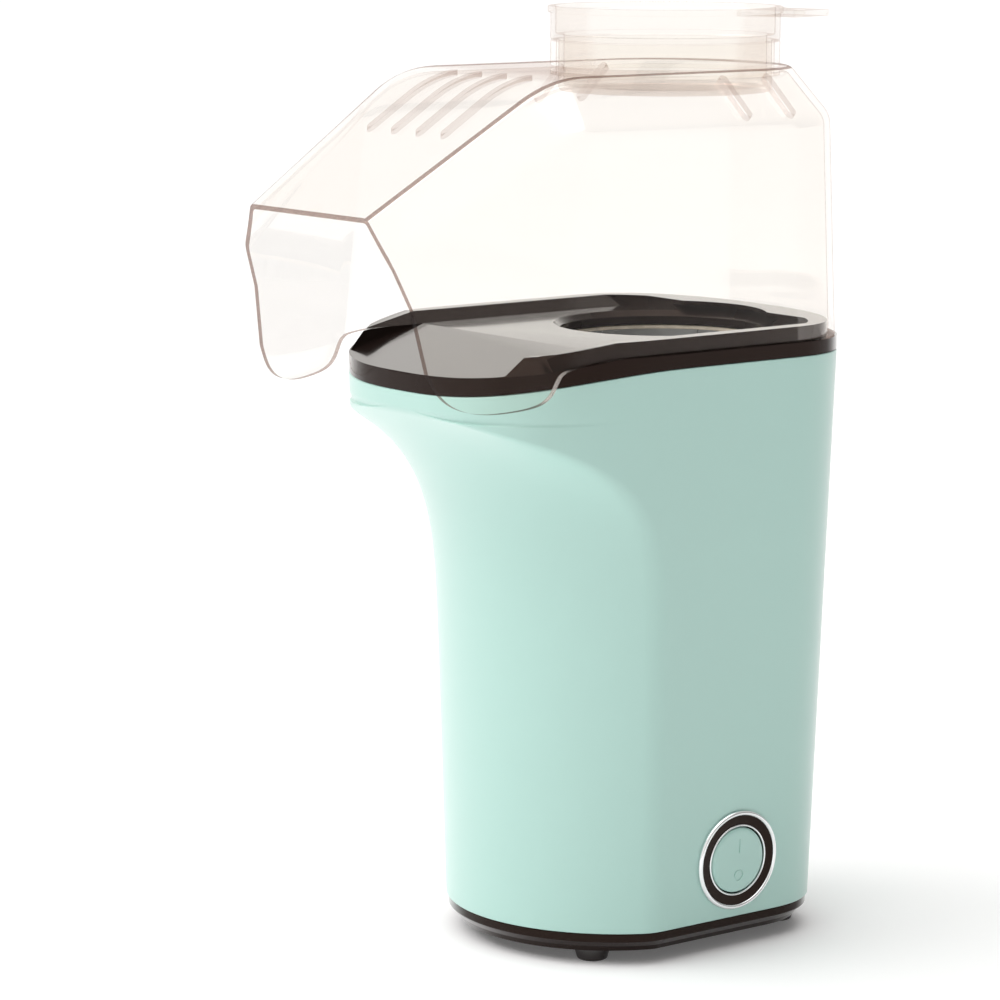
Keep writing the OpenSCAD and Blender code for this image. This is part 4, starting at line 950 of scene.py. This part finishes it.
def deck():
    ob = keep(plan(0, BAND_Z - 10, BAND_Z + 50), deck_slab(0, 0))
    hollow = keep(plan(BODY_WALL + SKIRT_IN, BAND_Z - 10, BAND_Z + 50), deck_slab(5, -DECK_SKIN))
    cut(hollow, rod(CHAMBER_R + 7, BAND_Z - 20, BAND_Z + 40))
    cut(ob, hollow)
    skirt = keep(plan(BODY_WALL + SKIRT_OUT, BAND_Z - 20, BAND_Z + 40), deck_slab(5, -1))
    cut(skirt, plan(BODY_WALL + SKIRT_IN, BAND_Z - 20, BAND_Z + 40))
    join(ob, skirt)
    collar = keep(plan(COVER_WALL + 2 * COVER_GAP, LEDGE_Z - 8, LEDGE_Z + 37),
                  *collar_tools(-COLLAR_FRONT - COLLAR_OVERRUN))
    front, start = -NOSE_REACH - 3, -COLLAR_FRONT - RAMP_OVERLAP
    ramp = keep(plan(0, LEDGE_Z - 12, LEDGE_Z + 37), *collar_tools(front),
                side_slab([(start, LEDGE_Z - 20), (front, LEDGE_Z - 20),
                           (front, COLLAR_Z), (start, COLLAR_Z)], TOP_HALF))
    join(collar, ramp)
    for side, turn in ((1, -FACET_TURN), (-1, FACET_TURN - math.pi)):
        facet = prism([(-60, -60), (60, -60), (60, 60), (-60, 60)], 0, 60)
        corner = Matrix.Translation((side * RAMP_HALF, -RAMP_REACH, ledge_at(-RAMP_REACH)))
        cut(collar, moved(facet, corner @ Matrix.Rotation(turn, 4, "Z")
                          @ Matrix.Rotation(FACET_LEAN, 4, "Y")))
    join(ob, collar)
    side = SLIDE_HALF + 8
    trough = prism([(-SLIDE_HALF, SLIDE_Z), (SLIDE_HALF, SLIDE_Z), (side, COLLAR_Z + 1),
                    (-side, COLLAR_Z + 1)], -29, 160)
    moved(trough, Matrix.Rotation(math.pi / 2, 4, "X"))
    round_end = [(side * math.cos(a), 12 + 26 * math.sin(a)) for a in
                 (math.pi * i / 40 for i in range(41))]
    keep(trough, prism([(-90, -170), (90, -170)] + round_end, LEDGE_Z - 30, LEDGE_Z + 30))
    cut(ob, trough)
    half, slim, tip = SLIDE_HALF, SLIDE_HALF - SLIDE_NARROWING, -NOSE_REACH - 10
    slide = prism([(-half, 0), (-half, -WIDE_BACK), (-slim, -RAMP_REACH), (-slim, tip - 2),
                   (slim, tip - 2), (slim, -RAMP_REACH), (half, -WIDE_BACK), (half, 0)],
                  LEDGE_Z - 30, LEDGE_Z + 30)
    cut(ob, keep(slide, side_slab([
        (-SLIDE_START, SLIDE_Z), (tip, SLIDE_Z + SLIDE_SLOPE * (tip + SLIDE_START)),
        (tip, COLLAR_Z + 1), (-SLIDE_START, COLLAR_Z + 1)], TOP_HALF)))
    cut(ob, rod(CHAMBER_R, BAND_Z - 20, BAND_Z + 40),
        rod(CHAMBER_R, SLIDE_Z - 2, SLIDE_Z + 2.2, CHAMBER_R + WELL_LEAD_IN),
        rod(CHAMBER_R + WELL_SEAT, BAND_Z - 20, EDGE_Z + 1.2))
    tidy_mesh(ob)
    bevel(ob, 0.45, 25)
    return finish_piece(ob, "spout_deck", "appliance", M["dark_gloss"], ["deck"],
                        sharp=30)


deck()


# ---- switch --------------------------------------------------------------------------------
def switch():
    bezel = RING_R - 1.7
    inner = BUTTON_R + BUTTON_GAP
    ring = rounded([(bezel + 0.05, 0.1), (RING_R, 0.1), (RING_R, 0.9), (RING_R - 0.55, 1.5),
                    (bezel + 0.5, 1.5), (bezel + 0.05, 1.05)], [0, 0, 0.3, 0.3, 0.3, 0.2], 3)
    dark = rounded([(inner + 0.75, 0.1), (bezel, 0.1), (bezel, 1.0), (inner + 0.75, 0.5)],
                   [0, 0, 0.15, 0.15], 3)
    thin = rounded([(inner, -0.3), (inner + 0.7, -0.3), (inner + 0.7, 0.8), (inner + 0.35, 1.0),
                    (inner, 0.8)], [0, 0, 0.15, 0.15, 0.15], 3)
    for name, profile, slot, node in (
            ("switch_rim", ring, "chrome_trim", "switch_outer_ring"),
            ("switch_face", dark, "dark_gloss", "switch_bezel"),
            ("switch_inner_rim", thin, "chrome_trim", "switch_inner_ring")):
        finish_piece(on_flank(lathe(profile, 128)), name, "appliance", M[slot], [node])
    r = BUTTON_R
    dish = [(0, -3.6), (r - 0.6, -3.6), (r, -3), (r, 0.15), (r - 0.14, 0.6), (r - 0.5, 0.95),
            (r - 1.1, 1.16), (r - 2, 1.27), (r - 4, 1.32), (r - 7, 1.36), (r - 9.5, 1.38), (0, 1.4)]
    knob = lathe(dish, 128, closed=False)
    mark = prism(stadium(5.0, 0.6), 1.12, 3)
    shifted(mark, -5.3)
    o = lathe([(1.55, 1.12), (2.1, 1.12), (2.1, 3), (1.55, 3)], 48)
    shifted(o, 5.3)
    cut(knob, mark, o)
    tidy_mesh(knob, 0.004)
    finish_piece(on_flank(knob), "rocker_button", "button_body", M["mint_shell"],
                 ["switch_button"], sharp=35)


switch()


# ---- floor, light and camera --------------------------------------------------------------
def floor():
    me = bpy.data.meshes.new("floor")
    s = 40.0
    me.from_pydata([(-s, -s, 0), (s, -s, 0), (s, s, 0), (-s, s, 0)], [], [(0, 1, 2, 3)])
    ob = bpy.data.objects.new("floor", me)
    bpy.context.scene.collection.objects.link(ob)
    skin = moulded("studio_floor", "#f8f7f7", 0.7, 0.004, 60, 0.00005, cloud=1.5, spec=0.1)
    glow = next(n for n in skin.node_tree.nodes if n.type == "BSDF_PRINCIPLED")
    glow.inputs["Emission Color"].default_value = (1, 1, 1, 1)
    glow.inputs["Emission Strength"].default_value = 0.1
    me.materials.append(skin)


def sun(name, toward, strength, degrees, colour=(1, 1, 1)):
    data = bpy.data.lights.new(name, "SUN")
    data.energy, data.angle, data.color = strength, math.radians(degrees), colour
    ob = bpy.data.objects.new(name, data)
    ob.rotation_euler = Vector(toward).to_track_quat("Z", "Y").to_euler()
    bpy.context.scene.collection.objects.link(ob)


def softbox(name, toward, reach, size, power):
    """A soft square lamp on a stand, seen from the part in the direction toward."""
    data = bpy.data.lights.new(name, "AREA")
    data.shape, data.size, data.energy = "SQUARE", size, power
    ob = bpy.data.objects.new(name, data)
    out = Vector(toward).normalized()
    ob.location = out * reach + Vector((0, 0, 0.15))
    ob.rotation_euler = out.to_track_quat("Z", "Y").to_euler()
    bpy.context.scene.collection.objects.link(ob)


def studio(fill, seen):
    """A white room: bright where it is seen, mirrored or looked at through something clear."""
    world = bpy.data.worlds.new("studio")
    world.use_nodes = True
    nodes, links = world.node_tree.nodes, world.node_tree.links
    back = nodes["Background"]
    back.inputs["Color"].default_value = (1.0, 0.985, 0.96, 1)
    path = nodes.new("ShaderNodeLightPath")
    level = path.outputs["Is Camera Ray"]
    for other in ("Is Glossy Ray", "Is Transmission Ray"):
        both = nodes.new("ShaderNodeMath")
        both.operation = "MAXIMUM"
        links.new(level, both.inputs[0])
        links.new(path.outputs[other], both.inputs[1])
        level = both.outputs[0]
    scale = nodes.new("ShaderNodeMapRange")
    scale.inputs["To Min"].default_value, scale.inputs["To Max"].default_value = fill, seen
    links.new(level, scale.inputs["Value"])
    place = nodes.new("ShaderNodeTexCoord")
    toward = nodes.new("ShaderNodeVectorMath")
    toward.operation = "DOT_PRODUCT"
    toward.inputs[1].default_value = (0.80, 0.60, 0.0)
    links.new(place.outputs["Generated"], toward.inputs[0])
    dim = nodes.new("ShaderNodeMapRange")
    dim.inputs["From Min"].default_value, dim.inputs["From Max"].default_value = 0.1, 0.9
    dim.inputs["To Min"].default_value, dim.inputs["To Max"].default_value = 1.0, 0.35
    links.new(toward.outputs["Value"], dim.inputs["Value"])
    both = nodes.new("ShaderNodeMath")
    both.operation = "MULTIPLY"
    links.new(scale.outputs["Result"], both.inputs[0])
    links.new(dim.outputs["Result"], both.inputs[1])
    links.new(both.outputs[0], back.inputs["Strength"])
    bpy.context.scene.world = world


floor()
studio(0.38, 1.0)
softbox("key", (-0.40, -0.66, 0.75), 1.6, 1.2, 9.5)
sun("overhead", (-0.15, -0.2, 1.0), 2.3, 85)
paths = bpy.context.scene.cycles
paths.max_bounces, paths.transmission_bounces, paths.glossy_bounces = 24, 24, 16
paths.transparent_max_bounces = 24

# ---- camera ------------------------------------------------------------------------
LENS = 140.61
EYE = (1061.91, AXIS_Y - 891.555, BODY_Z + 371.008)
TURN, RISE, ROLL = math.radians(52.378), math.radians(9.4394), math.radians(0.1183)

data = bpy.data.cameras.new("camera")
data.lens, data.sensor_width, data.clip_start, data.clip_end = LENS, 36.0, 0.01, 200.0
camera = bpy.data.objects.new("camera", data)
camera.matrix_world = (Matrix.Translation(Vector(EYE) * MM) @ Matrix.Rotation(TURN, 4, "Z")
                       @ Matrix.Rotation(math.pi / 2 - RISE, 4, "X")
                       @ Matrix.Rotation(ROLL, 4, "Z"))
bpy.context.scene.collection.objects.link(camera)
bpy.context.scene.camera = camera
bpy.context.scene.view_settings.view_transform = "Standard"
